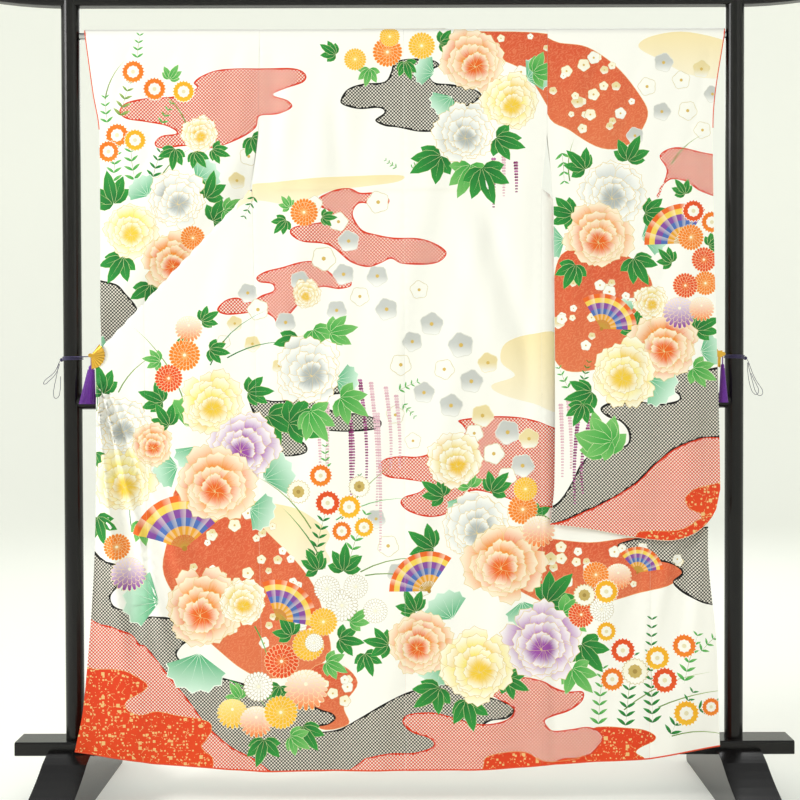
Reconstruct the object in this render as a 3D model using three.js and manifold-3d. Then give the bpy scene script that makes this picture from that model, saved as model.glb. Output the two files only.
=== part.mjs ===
// A furisode shown from behind on a black lacquered kimono stand.
//
// Millimetres, +Z up. The back of the garment faces -Y and the wearer's left is at -X. The origin is
// on the floor at the middle of the stand. Every sheet of cloth is placed by two lengths: x, across
// the stand, and drop, measured down the cloth from the top of the rod that carries the shoulders.

import * as THREE from 'three';
import Module from 'manifold-3d';
import { mergeVertices } from 'three/addons/utils/BufferGeometryUtils.js';

const wasm = await Module();
wasm.setup();

// ---------------------------------------------------------------- driving sizes

const GAP = 0.3; // running gap between pieces that touch
const WALL = 1.6; // outer silk and lining together
const COLLAR_WALL = 3.2; // the collar is folded double

const ROD_Z = 1662;
const ROD_RADIUS = 11.5;
const ROD_NECK = { radius: 7.5, length: 26, chamfer: 4 };
const BEND = ROD_RADIUS + 0.8 + WALL / 2; // radius of the middle of the cloth over the rod
const BEND_DROP = (BEND * Math.PI) / 2;

const POST_X = 722;
const POST_RADIUS = 20;
const POST_TOP = 1776;
const POST_DOME = 9;
const POST_SIDES = 28;
const BEAM = { halfLength: 845, depth: 80, bottom: 100, top: 130, round: 5 };
const FOOT = {
  width: 95,
  halfLength: 270,
  crown: 113, // height beside the beam
  lip: 20, // flat top beside the beam
  shoulder: { out: 60, down: 14 },
  waist: { share: 0.62, up: 22 }, // control point of the long fall to the toe
  toe: 44,
  toeLean: 6,
  toeRound: 9,
};
const TOP_RAIL = { halfLength: 905, depth: 36, bottom: 1725, top: 1767, round: 7, rise: 15 };
const MIDDLE_RAIL = { z: 868, radius: 17 };

const NECK_HALF = 92;
const NECK_STRAIGHT = 0.78; // share of the neck between the mitred corners of the collar
const CENTRE_BACK = 2;
const SEAMED = 238; // drop to which the sleeve is sewn to the body
const ARMPIT_DROP = 356; // drop at which the side seam begins
const COLLAR_WIDTH = 55;
const OKUMI_BEND = 190; // how far the okumi seam keeps the collar's direction from its tip
const FOLD_RADIUS = 4; // of the diagonal fold at the top of each opened front
const OUTLET = 14; // depth between back and front where the sleeve seam ends
const POUCH = 4.6; // depth between the two layers of a hanging sleeve
const SLEEVE_CORNER = 110;
const SLEEVE_BOTTOM = { inner: 1081, low: 1115, lowAt: 0.72, closing: 60 };
const SLEEVE_PASS = { over: 66, drop: 400 }; // lengths in which a sleeve steps behind or before the fronts

// How far the back of the garment hangs forward of the rod, by drop.
const HANG = [
  { drop: BEND_DROP, y: -BEND },
  { drop: ARMPIT_DROP, y: -20 },
  { drop: 600, y: -30 },
  { drop: 800, y: -40 },
  { drop: 1100, y: -47 },
  { drop: 1550, y: -57 },
  { drop: 1620, y: -58 },
];

// Depth from the back to the front of the garment along the sleeve seam.
const SEAM_DEPTH = [
  { drop: BEND_DROP, depth: 2 * BEND },
  { drop: 120, depth: 22 },
  { drop: SEAMED, depth: OUTLET },
];

// The two halves. x runs outwards from the middle in the sense of sign.
//   edge: side edge of the body, from the shoulder down the sleeve seam and the side seam
//   okumi, outer: the seam of the overlap panel and its free edge, on the opened front
//   hem: drop of the hem at the side seam, the okumi seam and the free edge
//   sleeveClear: how far the sleeve's open edge hangs from the body's edge
//   sleeveOuter: the sewn outer edge of the sleeve
//   frontDepth: depth of the hidden upper front behind the back
//   frontShift, frontReach: how far the opened front leaves the back's depth, and within what width
//   sleeveBack, sleeveForward: how far the sleeve hangs behind or before the back's depth
//   pleat: depth of the narrow pleats under the clip
//   tassel: how it leans outwards and forwards as it falls, and how flat it is in width and depth
const HALVES = {
  left: {
    sign: -1,
    neckX: CENTRE_BACK - NECK_HALF,
    edge: [
      { drop: 0, x: -310 },
      { drop: SEAMED, x: -313 },
      { drop: ARMPIT_DROP, x: -327 },
      { drop: 1620, x: -302 },
    ],
    okumi: [
      { drop: 600, x: -560 },
      { drop: 1200, x: -552 },
      { drop: 1600, x: -541 },
    ],
    outer: [
      { drop: 700, x: -664 },
      { drop: 813, x: -661 },
      { drop: 1162, x: -668 },
      { drop: 1467, x: -690 },
      { drop: 1566, x: -709 },
    ],
    clip: { x: -664, drop: 716 },
    collarBend: { x: -200, drop: 500 },
    hem: { seam: 1611, okumi: 1592, outer: 1566 },
    sleeveClear: [
      { drop: SEAMED, x: 0 },
      { drop: ARMPIT_DROP, x: 6 },
      { drop: 500, x: 16 },
      { drop: 1120, x: 22 },
    ],
    sleeveOuter: [
      { drop: 0, x: -690 },
      { drop: 147, x: -670 },
      { drop: 230, x: -657 },
      { drop: 1120, x: -655 },
    ],
    frontDepth: 8,
    frontReach: 300,
    frontShift: -4,
    sleeveBack: 14,
    sleeveForward: 0,
    pleat: 5,
    tassel: { out: 0.12, forward: 0, wide: 1, deep: 0.55 },
  },
  right: {
    sign: 1,
    neckX: CENTRE_BACK + NECK_HALF,
    edge: [
      { drop: 0, x: 314 },
      { drop: SEAMED, x: 312 },
      { drop: ARMPIT_DROP, x: 299 },
      { drop: 1620, x: 297 },
    ],
    okumi: [
      { drop: 600, x: 535 },
      { drop: 1600, x: 529 },
    ],
    outer: [
      { drop: 700, x: 681 },
      { drop: 1118, x: 655 },
      { drop: 1336, x: 673 },
      { drop: 1560, x: 681 },
    ],
    clip: { x: 681, drop: 716 },
    collarBend: { x: 204, drop: 500 },
    hem: { seam: 1599, okumi: 1587, outer: 1560 },
    sleeveClear: [
      { drop: SEAMED, x: 0 },
      { drop: ARMPIT_DROP, x: 23 },
      { drop: 460, x: 26 },
      { drop: 990, x: 26 },
      { drop: 1090, x: 15 },
    ],
    sleeveOuter: [
      { drop: 0, x: 699 },
      { drop: 212, x: 671 },
      { drop: 996, x: 680 },
      { drop: 1120, x: 680 },
    ],
    frontDepth: 14,
    frontReach: 30,
    frontShift: 6,
    sleeveBack: 0,
    sleeveForward: 7,
    pleat: 2.5,
    tassel: { out: 0, forward: 0.12, wide: 0.55, deep: 0.8 },
  },
};
const BACK_HEM = 1609;
const SEAM_FLAT = 40; // width beside the side seams that the folds leave flat

// The fan clips that hold the fronts open, their tassels, and the cord that ties each to its post.
const FAN = { radius: 30, ribs: 10, groove: 1.6, from: -88, to: 53, thickness: 1.6 };
const PIVOT = { out: 8, up: 2 };
const JAW = { reach: 24, height: 15, thickness: 1.4 };
const HINGE = { radius: 4.5, out: 2 };
const TASSEL = { cord: 26, sides: 14 };
const TIE = { radius: 1.1, z: 966, pitch: 2.9, from: 70, to: 900, step: 24, knot: 4.2 };
const LOOP = { radius: 0.6, steps: 46 };

// Half section of a tassel, in heights from the bottom of its head.
const TASSEL_PROFILE = [
  { z: 10, radius: 1.2 },
  { z: 8.6, radius: 3.6 },
  { z: 5, radius: 5.6 },
  { z: 1.4, radius: 5.4 },
  { z: 0, radius: 4.4 },
  { z: -5, radius: 7 },
  { z: -20, radius: 8.6 },
  { z: -40, radius: 11 },
  { z: -60, radius: 15 },
  { z: -74, radius: 19 },
];

// Route of the bow's loops from the knot: out from the post, towards the viewer, and down.
const BOW = {
  left: [
    [3.9, 0.5, 2.5], [6, 1.6, 8], [9, 3.4, 16], [14, 5.2, 26], [22, 6.4, 34], [31, 6.8, 41],
    [37, 6.6, 47.5], [38.4, 6, 52], [34.6, 5.4, 52.6], [27, 5, 46], [18, 4.2, 38], [11, 3, 28],
    [7, 1, 18], [5.4, -1, 9], [7.6, -2.6, 11], [10, -3.8, 24], [14, -4.6, 42], [18, -5, 60],
    [19.4, -5.2, 75], [16, -5.4, 84], [10, -5.6, 82], [5.4, -5.8, 68], [4.2, -6, 50], [4, -6.2, 36],
  ],
  right: [
    [3.9, 0.5, 2.5], [7, 1.8, 10], [11, 3.4, 22], [16, 5, 36], [23, 6.2, 50], [31, 6.8, 62],
    [36, 6.8, 71], [35.4, 6.4, 79], [29, 6, 81.6], [22, 5.2, 74], [16, 4.2, 56], [11, 2.8, 36],
    [7.4, 1, 20], [5.6, -1, 10], [5.6, -2.8, 14], [6.4, -4, 30], [9, -4.8, 48], [13, -5.2, 64],
    [19, -5.4, 76], [26, -5.6, 79.6], [30.6, -5.8, 72], [26, -6, 58], [19, -6.2, 44], [14, -6.4, 33],
  ],
};

// Soft folds of the back: a trough from one point to another, and the ridge beside it.
const BACK_FOLDS = [
  { x0: 160, drop0: 330, x1: 296, drop1: 812, width: 24, depth: 5 },
  { x0: 120, drop0: 372, x1: 214, drop1: 740, width: 30, depth: -4 },
  { x0: -150, drop0: 150, x1: -136, drop1: 350, width: 20, depth: 3.5 },
  { x0: -62, drop0: 380, x1: -120, drop1: 900, width: 34, depth: 3 },
  { x0: -250, drop0: 40, x1: -262, drop1: 300, width: 22, depth: -3 },
];

// The tuck at the waist swells over the length above its lip and falls back just past it.
const WAIST_TUCK = { drop: 360, height: 3, from: -318, to: 232, fade: 60, swell: 70, lip: 8, fall: [5, 3] };

// Narrow pleats below each clip: middle, spread and pitch in degrees from straight down, the
// distances from the clip over which they rise and fade, and what they leave smooth.
const PLEATS = {
  middle: 9,
  spread: 13,
  pitch: 9.5,
  rise: [20, 130],
  fade: [420, 820],
  clearOfFold: 70,
  clearOfSeam: 16,
};

// Soft folds of the sleeves, by share of the width and drop.
const SLEEVE_FOLDS = {
  left: [
    { across: 0.3, drop: 330, wide: 0.2, tall: 200, depth: -4 },
    { across: 0.75, drop: 420, wide: 0.16, tall: 220, depth: -3 },
  ],
  right: [
    { across: 0.42, drop: 930, wide: 0.16, tall: 190, depth: -7 },
    { across: 0.8, drop: 900, wide: 0.13, tall: 260, depth: -8 },
    { across: 0.25, drop: 560, wide: 0.2, tall: 260, depth: -3 },
    { across: 0.62, drop: 110, wide: 0.12, tall: 90, depth: -3 },
  ],
};

const LACQUER = { color: 0x10100f, roughness: 0.12, metalness: 0 };
const SILK = { color: 0xf3efe2, roughness: 0.5, metalness: 0 };
const FRONT_SILK = { color: 0xeee2c8, roughness: 0.5, metalness: 0 };
const COLLAR_SILK = { color: 0xf6f3ea, roughness: 0.5, metalness: 0 };
const GILT = { color: 0xd8b24a, roughness: 0.3, metalness: 1 };
const PURPLE = { color: 0x4a1a86, roughness: 0.7, metalness: 0 };
const STEEL = { color: 0x8d8f90, roughness: 0.3, metalness: 1 };

// ---------------------------------------------------------------- helpers

const { lerp, smoothstep } = THREE.MathUtils;

// Smooth value of a column of a table whose rows go by drop.
function along(rows, column, drop) {
  const last = rows.length - 1;
  if (drop <= rows[0].drop) return rows[0][column];
  if (drop >= rows[last].drop) return rows[last][column];
  const i = rows.findIndex((row) => row.drop > drop) - 1;
  const slope = (k) => {
    const before = rows[Math.max(k - 1, 0)];
    const after = rows[Math.min(k + 1, last)];
    return (after[column] - before[column]) / (after.drop - before.drop);
  };
  const span = rows[i + 1].drop - rows[i].drop;
  const t = (drop - rows[i].drop) / span;
  const rise = 3 * t * t - 2 * t * t * t;
  const start = slope(i) * span * t * (1 - t) * (1 - t);
  const end = slope(i + 1) * span * t * t * (t - 1);
  return lerp(rows[i][column], rows[i + 1][column], rise) + start + end;
}

// The same for an edge that runs straight from row to row.
function straight(rows, column, drop) {
  const next = Math.max(1, rows.findIndex((row, i) => i > 0 && row.drop >= drop));
  const from = rows[next - 1];
  return lerp(from[column], rows[next][column], (drop - from.drop) / (rows[next].drop - from.drop));
}

function steps(count, from = 0, to = 1) {
  return Array.from({ length: count + 1 }, (_, i) => lerp(from, to, i / count));
}

// A point of cloth. face is -1 on the back of the rod and 1 on its front; lift thickens the bend.
function place(x, drop, face, y, lift = 0) {
  if (drop >= BEND_DROP) return new THREE.Vector3(x, y + lift, ROD_Z + BEND_DROP - drop);
  const angle = drop / BEND;
  const radius = BEND + lift;
  return new THREE.Vector3(x, face * radius * Math.sin(angle), ROD_Z + radius * Math.cos(angle));
}

function makeMesh(name, geometry, look) {
  const mesh = new THREE.Mesh(geometry, new THREE.MeshStandardMaterial(look));
  mesh.name = name;
  return mesh;
}

// A wall of even thickness about a grid of points, closed along its four rims.
function clothWall(grid, thickness) {
  const rows = grid.length;
  const columns = grid[0].length;
  const positions = [];
  for (const face of [0.5, -0.5]) {
    for (let r = 0; r < rows; r += 1) {
      for (let c = 0; c < columns; c += 1) {
        const down = grid[Math.min(r + 1, rows - 1)][c].clone().sub(grid[Math.max(r - 1, 0)][c]);
        const over = grid[r][Math.min(c + 1, columns - 1)].clone().sub(grid[r][Math.max(c - 1, 0)]);
        const normal = over.cross(down).normalize();
        const point = grid[r][c].clone().addScaledVector(normal, face * thickness);
        positions.push(point.x, point.y, point.z);
      }
    }
  }
  const index = [];
  const second = rows * columns;
  const at = (r, c) => r * columns + c;
  const quad = (a, b, c, d) => index.push(a, b, c, a, c, d);
  for (let r = 0; r < rows - 1; r += 1) {
    for (let c = 0; c < columns - 1; c += 1) {
      quad(at(r, c), at(r + 1, c), at(r + 1, c + 1), at(r, c + 1));
      quad(
        second + at(r, c), second + at(r, c + 1),
        second + at(r + 1, c + 1), second + at(r + 1, c),
      );
    }
  }
  const rim = (a, b) => quad(a, b, second + b, second + a);
  for (let c = 0; c < columns - 1; c += 1) {
    rim(at(0, c), at(0, c + 1));
    rim(at(rows - 1, c + 1), at(rows - 1, c));
  }
  for (let r = 0; r < rows - 1; r += 1) {
    rim(at(r + 1, 0), at(r, 0));
    rim(at(r, columns - 1), at(r + 1, columns - 1));
  }
  const geometry = new THREE.BufferGeometry();
  geometry.setAttribute('position', new THREE.Float32BufferAttribute(positions, 3));
  geometry.setIndex(index);
  return facingOut(geometry);
}

// Turns the triangles round where the closed mesh has its inside out.
function facingOut(geometry) {
  const position = geometry.getAttribute('position');
  const index = geometry.getIndex();
  const corner = (k) => new THREE.Vector3().fromBufferAttribute(position, index.getX(k));
  let volume = 0;
  for (let k = 0; k < index.count; k += 3) {
    volume += corner(k).dot(corner(k + 1).cross(corner(k + 2))) / 6;
  }
  if (volume < 0) {
    for (let k = 0; k < index.count; k += 3) {
      const swap = index.getX(k);
      index.setX(k, index.getX(k + 1));
      index.setX(k + 1, swap);
    }
  }
  geometry.computeVertexNormals();
  return geometry;
}

function toSolid(geometry) {
  const bare = geometry.clone();
  bare.deleteAttribute('normal');
  bare.deleteAttribute('uv');
  const merged = mergeVertices(bare, 1e-4);
  return new wasm.Manifold(new wasm.Mesh({
    numProp: 3,
    vertProperties: new Float32Array(merged.getAttribute('position').array),
    triVerts: new Uint32Array(merged.getIndex().array),
  }));
}

function toGeometry(solid) {
  const mesh = solid.getMesh();
  const geometry = new THREE.BufferGeometry();
  geometry.setAttribute('position', new THREE.Float32BufferAttribute(mesh.vertProperties, 3));
  geometry.setIndex(Array.from(mesh.triVerts));
  geometry.computeVertexNormals();
  return geometry;
}

// ---------------------------------------------------------------- how the cloth lies

const hang = (drop) => along(HANG, 'y', drop);
const edgeX = (half, drop) => straight(half.edge, 'x', drop);

// The diagonal fold of an opened front: where it starts, its slope, and the unit step out of it.
function foldLine(half) {
  const from = { x: edgeX(half, ARMPIT_DROP), drop: ARMPIT_DROP };
  const runX = half.clip.x - from.x;
  const runDrop = half.clip.drop - from.drop;
  const length = Math.hypot(runX, runDrop);
  const out = { x: (half.sign * runDrop) / length, drop: (-half.sign * runX) / length };
  return { from, out, slope: runDrop / runX };
}

// Distance below the diagonal fold, negative above it.
function belowFold(half, x, drop) {
  const { from, out } = foldLine(half);
  return -((x - from.x) * out.x + (drop - from.drop) * out.drop);
}

// Narrow pleats that spread downwards from the clip over the overlap panel.
function clipPleats(half, x, drop) {
  const aside = half.sign * (half.clip.x - x);
  const below = drop - half.clip.drop;
  const reach = Math.hypot(aside, below);
  const turn = THREE.MathUtils.radToDeg(Math.atan2(aside, below));
  const strength = Math.exp(-(((turn - PLEATS.middle) / PLEATS.spread) ** 2))
    * smoothstep(reach, ...PLEATS.rise) * (1 - smoothstep(reach, ...PLEATS.fade));
  const smooth = smoothstep(belowFold(half, x, drop), 0, PLEATS.clearOfFold)
    * smoothstep(Math.abs(x - along(half.okumi, 'x', drop)), 0, PLEATS.clearOfSeam);
  return half.pleat * strength * smooth * Math.cos((2 * Math.PI * turn) / PLEATS.pitch);
}

// Depth of the opened front that faces the viewer.
function openedFront(half, x, drop) {
  const out = half.sign * (x - edgeX(half, drop));
  return hang(drop) + half.frontShift * smoothstep(out, 0, half.frontReach) + clipPleats(half, x, drop);
}

// Depth between back and front just under the shoulder, which opens out to own below the seam.
function seamDepth(drop, own) {
  return lerp(along(SEAM_DEPTH, 'depth', drop), own, smoothstep(drop, SEAMED, ARMPIT_DROP));
}

function foldDepth(fold, x, drop) {
  const length = Math.hypot(fold.x1 - fold.x0, fold.drop1 - fold.drop0);
  const unit = { x: (fold.x1 - fold.x0) / length, drop: (fold.drop1 - fold.drop0) / length };
  const run = ((x - fold.x0) * unit.x + (drop - fold.drop0) * unit.drop) / length;
  const aside = (x - fold.x0) * unit.drop - (drop - fold.drop0) * unit.x;
  const ends = smoothstep(run, -0.1, 0.3) * (1 - smoothstep(run, 0.7, 1.1));
  return fold.depth * ends * Math.exp(-((aside / fold.width) ** 2));
}

function backDepth(x, drop) {
  const fromEdge = Math.min(x - edgeX(HALVES.left, drop), edgeX(HALVES.right, drop) - x);
  const folds = BACK_FOLDS.reduce((sum, fold) => sum + foldDepth(fold, x, drop), 0);
  const { from, to, fade, swell, lip, fall } = WAIST_TUCK;
  const below = drop - WAIST_TUCK.drop;
  const tuck = smoothstep(x, from, from + fade) * (1 - smoothstep(x, to - fade, to))
    * smoothstep(below, -swell, -lip) * (1 - smoothstep(below, -fall[0], fall[1]));
  return hang(drop) + folds * smoothstep(fromEdge, 0, SEAM_FLAT) - WAIST_TUCK.height * tuck;
}

// ---------------------------------------------------------------- backs

const TOP_DROPS = [0.5, 7, 14, BEND_DROP, 70, 130, 190, SEAMED];
const TUCK_DROPS = [290, 325, 350, 356, 364, 400];
const SKIRT_TOP = 460; // below this the rows follow the curve of the hem

function backPanel(half) {
  const seam = CENTRE_BACK + half.sign * (GAP / 2);
  const lower = steps(13, SKIRT_TOP, BACK_HEM);
  const grid = [...TOP_DROPS, ...TUCK_DROPS, ...lower].map((row) => steps(8).map((across) => {
    const share = Math.max(0, row - SKIRT_TOP) / (BACK_HEM - SKIRT_TOP);
    const lift = (half.hem.seam - BACK_HEM) * share * across ** 3;
    const drop = row + lift;
    const x = lerp(seam, edgeX(half, drop) - half.sign * (GAP / 2), across);
    return place(x, drop, -1, backDepth(x, drop));
  }));
  return clothWall(grid, WALL);
}

// ---------------------------------------------------------------- opened fronts

// The collar seam runs from the neck to the clip as one gentle curve.
function collarSeam(half, t) {
  const a = (1 - t) * (1 - t);
  const b = 2 * t * (1 - t);
  const c = t * t;
  return {
    x: a * half.neckX + b * half.collarBend.x + c * half.clip.x,
    drop: b * half.collarBend.drop + c * half.clip.drop,
  };
}

// Where the collar seam reaches a given drop.
function collarShare(half, drop) {
  const square = 2 * half.collarBend.drop - half.clip.drop;
  const full = 2 * half.collarBend.drop;
  return (full - Math.sqrt(full * full - 4 * square * drop)) / (2 * square);
}

// The point of the diagonal fold where a column of the opened front turns back.
function turnPoint(half, columnX) {
  const { from, slope } = foldLine(half);
  let drop = ARMPIT_DROP;
  for (let i = 0; i < 12; i += 1) {
    drop = from.drop + slope * (columnX(drop) - from.x);
  }
  return { x: columnX(drop), drop };
}

// How far the upper front has to come forward or back to meet the fold at its turn.
function upperOffset(half, turn) {
  return openedFront(half, turn.x, turn.drop) + 2 * FOLD_RADIUS
    - hang(turn.drop) - seamDepth(turn.drop, half.frontDepth);
}

// Depth of the upper front, with u from 0 at the end of the seamed part to 1 at the fold.
function upperDepth(half, drop, u, offset) {
  return hang(drop) + seamDepth(drop, half.frontDepth) + u * u * offset;
}

// Rows of one column from the turn of the fold down to the hem.
function foldAndHem(half, columnX, hemDrop, count) {
  const turn = turnPoint(half, columnX);
  const { out } = foldLine(half);
  const face = openedFront(half, turn.x, turn.drop);
  const points = [60, 20, -20, -60].map((degrees) => {
    const angle = THREE.MathUtils.degToRad(degrees);
    const reach = FOLD_RADIUS * Math.cos(angle);
    const drop = turn.drop + out.drop * reach;
    const y = face + FOLD_RADIUS + FOLD_RADIUS * Math.sin(angle);
    return place(turn.x + out.x * reach, drop, 1, y);
  });
  for (const t of steps(count)) {
    const drop = lerp(turn.drop, hemDrop, t);
    const x = columnX(drop);
    points.push(place(x, drop, 1, openedFront(half, x, drop)));
  }
  return points;
}

// Transposes columns of points into the rows that clothWall takes.
function columnsToRows(columns) {
  return columns[0].map((_, r) => columns.map((column) => column[r]));
}

// The front edge of the front panel below the seamed part: from the okumi tip to the fold.
function panelEdge(half, u) {
  const tipShare = collarShare(half, SEAMED);
  const tip = collarSeam(half, tipShare);
  const next = collarSeam(half, tipShare + 0.01);
  const length = Math.hypot(next.x - tip.x, next.drop - tip.drop);
  const reach = OKUMI_BEND / length;
  const bend = {
    x: tip.x + (next.x - tip.x) * reach,
    drop: tip.drop + (next.drop - tip.drop) * reach,
  };
  const end = turnPoint(half, (drop) => along(half.okumi, 'x', drop));
  const mix = (key) => (1 - u) ** 2 * tip[key] + 2 * u * (1 - u) * bend[key] + u * u * end[key];
  return { x: mix('x'), drop: mix('drop') };
}

const UPPER_STEPS = steps(7, 1 / 8, 1); // rows from the seamed part down to the fold
const OKUMI_TURN = 1.5; // how those rows spread along the collar seam

function frontPanel(half) {
  const inset = half.sign * (GAP / 2);
  const columns = steps(6).map((across) => {
    const columnX = (drop) => lerp(
      edgeX(half, drop) + inset,
      along(half.okumi, 'x', drop) - inset,
      across,
    );
    const turn = turnPoint(half, columnX);
    const offset = upperOffset(half, turn);
    const points = TOP_DROPS.map((drop) => {
      const seam = collarSeam(half, collarShare(half, drop)).x + inset;
      const x = lerp(edgeX(half, drop) - inset, seam, across);
      return place(x, drop, 1, upperDepth(half, drop, 0, 0));
    });
    for (const u of UPPER_STEPS) {
      const sideDrop = lerp(SEAMED, ARMPIT_DROP, u);
      const front = panelEdge(half, u);
      const end = panelEdge(half, 1);
      const straightX = lerp(edgeX(half, ARMPIT_DROP), end.x, across);
      const straightDrop = lerp(ARMPIT_DROP, end.drop, across);
      const x = lerp(edgeX(half, sideDrop) - inset * (1 - u), front.x, across)
        + u * u * (turn.x - straightX);
      const drop = lerp(sideDrop, front.drop, across) + u * u * (turn.drop - straightDrop);
      points.push(place(x, drop, 1, upperDepth(half, drop, u, offset)));
    }
    const hem = lerp(half.hem.seam, half.hem.okumi, across);
    return points.concat(foldAndHem(half, columnX, hem, 10));
  });
  return clothWall(columnsToRows(columns), WALL);
}

function overlapPanel(half) {
  const inset = half.sign * (GAP / 2);
  const tipShare = collarShare(half, SEAMED);
  const columns = steps(8).map((across) => {
    const columnX = (drop) => lerp(
      along(half.okumi, 'x', drop) + inset,
      along(half.outer, 'x', drop),
      across,
    );
    const turn = turnPoint(half, columnX);
    const offset = upperOffset(half, turn);
    const end = panelEdge(half, 1);
    const points = UPPER_STEPS.slice(1).map((u) => {
      const inner = panelEdge(half, u);
      const seam = collarSeam(half, lerp(tipShare, 1, u ** OKUMI_TURN));
      const clear = { x: -2 * inset * (1 - u), drop: 2 * GAP };
      const x = lerp(inner.x + clear.x, seam.x, across)
        + u * u * (turn.x - lerp(end.x, half.clip.x, across));
      const drop = lerp(inner.drop + clear.drop, seam.drop - GAP, across)
        + u * u * (turn.drop - lerp(end.drop, half.clip.drop, across) - lerp(2 * GAP, -GAP, across));
      return place(x, drop, 1, upperDepth(half, drop, u, offset));
    });
    const hem = lerp(half.hem.okumi, half.hem.outer, across);
    return points.concat(foldAndHem(half, columnX, hem, 12));
  });
  return clothWall(columnsToRows(columns), WALL);
}

// ---------------------------------------------------------------- collar

// One long strip: along the left collar seam, round the back of the neck and down the right one.
// A station is a point of the seam and the point of the free edge that lies across from it.
function collarLeg(half) {
  const tipShare = collarShare(half, SEAMED);
  const stationAt = (share) => {
    const seam = collarSeam(half, share);
    const next = collarSeam(half, share + 0.01);
    const scale = COLLAR_WIDTH / Math.hypot(next.x - seam.x, next.drop - seam.drop);
    const free = {
      x: seam.x - half.sign * (next.drop - seam.drop) * scale,
      drop: seam.drop + half.sign * (next.x - seam.x) * scale,
    };
    const u = Math.max(0, (share - tipShare) / (1 - tipShare)) ** (1 / OKUMI_TURN);
    return { half, seam, free, offset: upperOffset(half, half.clip) * u * u };
  };
  const lower = UPPER_STEPS.slice(1).map((u) => stationAt(lerp(tipShare, 1, u ** OKUMI_TURN)));
  const upper = TOP_DROPS.slice(4).map((drop) => stationAt(collarShare(half, drop)));
  const [straightest] = upper;
  const corner = TOP_DROPS.slice(0, 4).map((drop) => {
    const t = drop / straightest.seam.drop;
    const mitre = half.neckX - half.sign * COLLAR_WIDTH;
    const free = {
      x: lerp(mitre, straightest.free.x, t),
      drop: lerp(COLLAR_WIDTH, straightest.free.drop, t),
    };
    return { half, seam: collarSeam(half, collarShare(half, drop)), free, offset: 0 };
  });
  return [...corner, ...upper, ...lower];
}

function collarStrip() {
  const neck = steps(4, -NECK_STRAIGHT, NECK_STRAIGHT).map((share) => ({
    half: HALVES.left,
    seam: { x: CENTRE_BACK + share * NECK_HALF, drop: TOP_DROPS[0] },
    free: { x: CENTRE_BACK + share * (NECK_HALF - COLLAR_WIDTH), drop: COLLAR_WIDTH },
    offset: 0,
  }));
  const stations = [...collarLeg(HALVES.left).reverse(), ...neck, ...collarLeg(HALVES.right)];
  const acrossSteps = [0.012, 0.13, 0.255, 0.375, 0.7, 1];
  const lift = (COLLAR_WALL - WALL) / 2 + 3 * GAP;
  const grid = stations.map(({ half, seam, free, offset }) => acrossSteps.map((share) => {
    const x = lerp(seam.x, free.x, share);
    const drop = lerp(seam.drop, free.drop, share);
    return place(x, drop, 1, hang(drop) + seamDepth(drop, half.frontDepth) + offset, lift);
  }));
  return clothWall(grid, COLLAR_WALL);
}

// ---------------------------------------------------------------- sleeves

// Drop of the sleeve's bottom edge, with its round outer corner.
function sleeveBottom(width, across) {
  const { inner, low, lowAt } = SLEEVE_BOTTOM;
  const base = lerp(inner, low, smoothstep(across, 0, lowAt));
  const past = Math.max(0, across * width - (width - SLEEVE_CORNER));
  return base - SLEEVE_CORNER + Math.sqrt(Math.max(0, SLEEVE_CORNER ** 2 - past ** 2));
}

// A point of the sleeve's near layer (face -1) or far layer (face 1), which meet at the bottom.
function sleevePoint(half, folds, face, across, drop, bottom) {
  const innerX = edgeX(half, drop) + half.sign * (GAP / 2 + along(half.sleeveClear, 'x', drop));
  const outerX = along(half.sleeveOuter, 'x', drop);
  const x = lerp(innerX, outerX, across);
  const backwards = half.sleeveBack * smoothstep(belowFold(half, x, drop), -SLEEVE_PASS.over, 0);
  const forwards = half.sleeveForward * smoothstep(drop, SEAMED, SLEEVE_PASS.drop);
  const near = hang(drop) + backwards - forwards;
  const sewn = WALL + GAP;
  const open = lerp(2 * BEND, sewn, smoothstep(drop, BEND_DROP, SEAMED));
  const pouch = lerp(seamDepth(drop, POUCH), open, smoothstep(across, 0, 1));
  const towardsHem = 1 - Math.exp((drop - bottom) / SLEEVE_BOTTOM.closing);
  const depth = sewn + (pouch - sewn) * towardsHem;
  if (face > 0) return place(x, drop, face, near + depth);
  const bulge = folds.reduce((sum, fold) => sum + fold.depth
    * Math.exp(-(((across - fold.across) / fold.wide) ** 2))
    * Math.exp(-(((drop - fold.drop) / fold.tall) ** 2)), 0);
  const held = smoothstep(across, 0, 0.12) * (1 - smoothstep(across, 0.86, 1));
  const low = towardsHem * smoothstep(drop, BEND_DROP, BEND_DROP + 60);
  return place(x, drop, face, near + bulge * held * low);
}

function sleeve(half, folds) {
  const level = SLEEVE_BOTTOM.inner - SLEEVE_CORNER;
  const width = Math.abs(along(half.sleeveOuter, 'x', level) - edgeX(half, level))
    - along(half.sleeveClear, 'x', level);
  const across = [0, 0.1, 0.22, 0.34, 0.46, 0.58, 0.7, 0.8, 0.89, 0.96, 1];
  const rowShares = [0.1, 0.2, 0.3, 0.4, 0.5, 0.61, 0.72, 0.82, 0.9, 0.96, 1];
  const columns = across.map((share) => {
    const bottom = sleeveBottom(width, share);
    const drops = [0, ...TOP_DROPS.slice(1), ...rowShares.map((t) => lerp(SEAMED, bottom, t))];
    const far = drops.slice(1).reverse().map((drop) => sleevePoint(half, folds, 1, share, drop, bottom));
    const near = drops.map((drop) => sleevePoint(half, folds, -1, share, drop, bottom));
    return far.concat(near);
  });
  return clothWall(columnsToRows(columns), WALL);
}

// ---------------------------------------------------------------- stand

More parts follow.
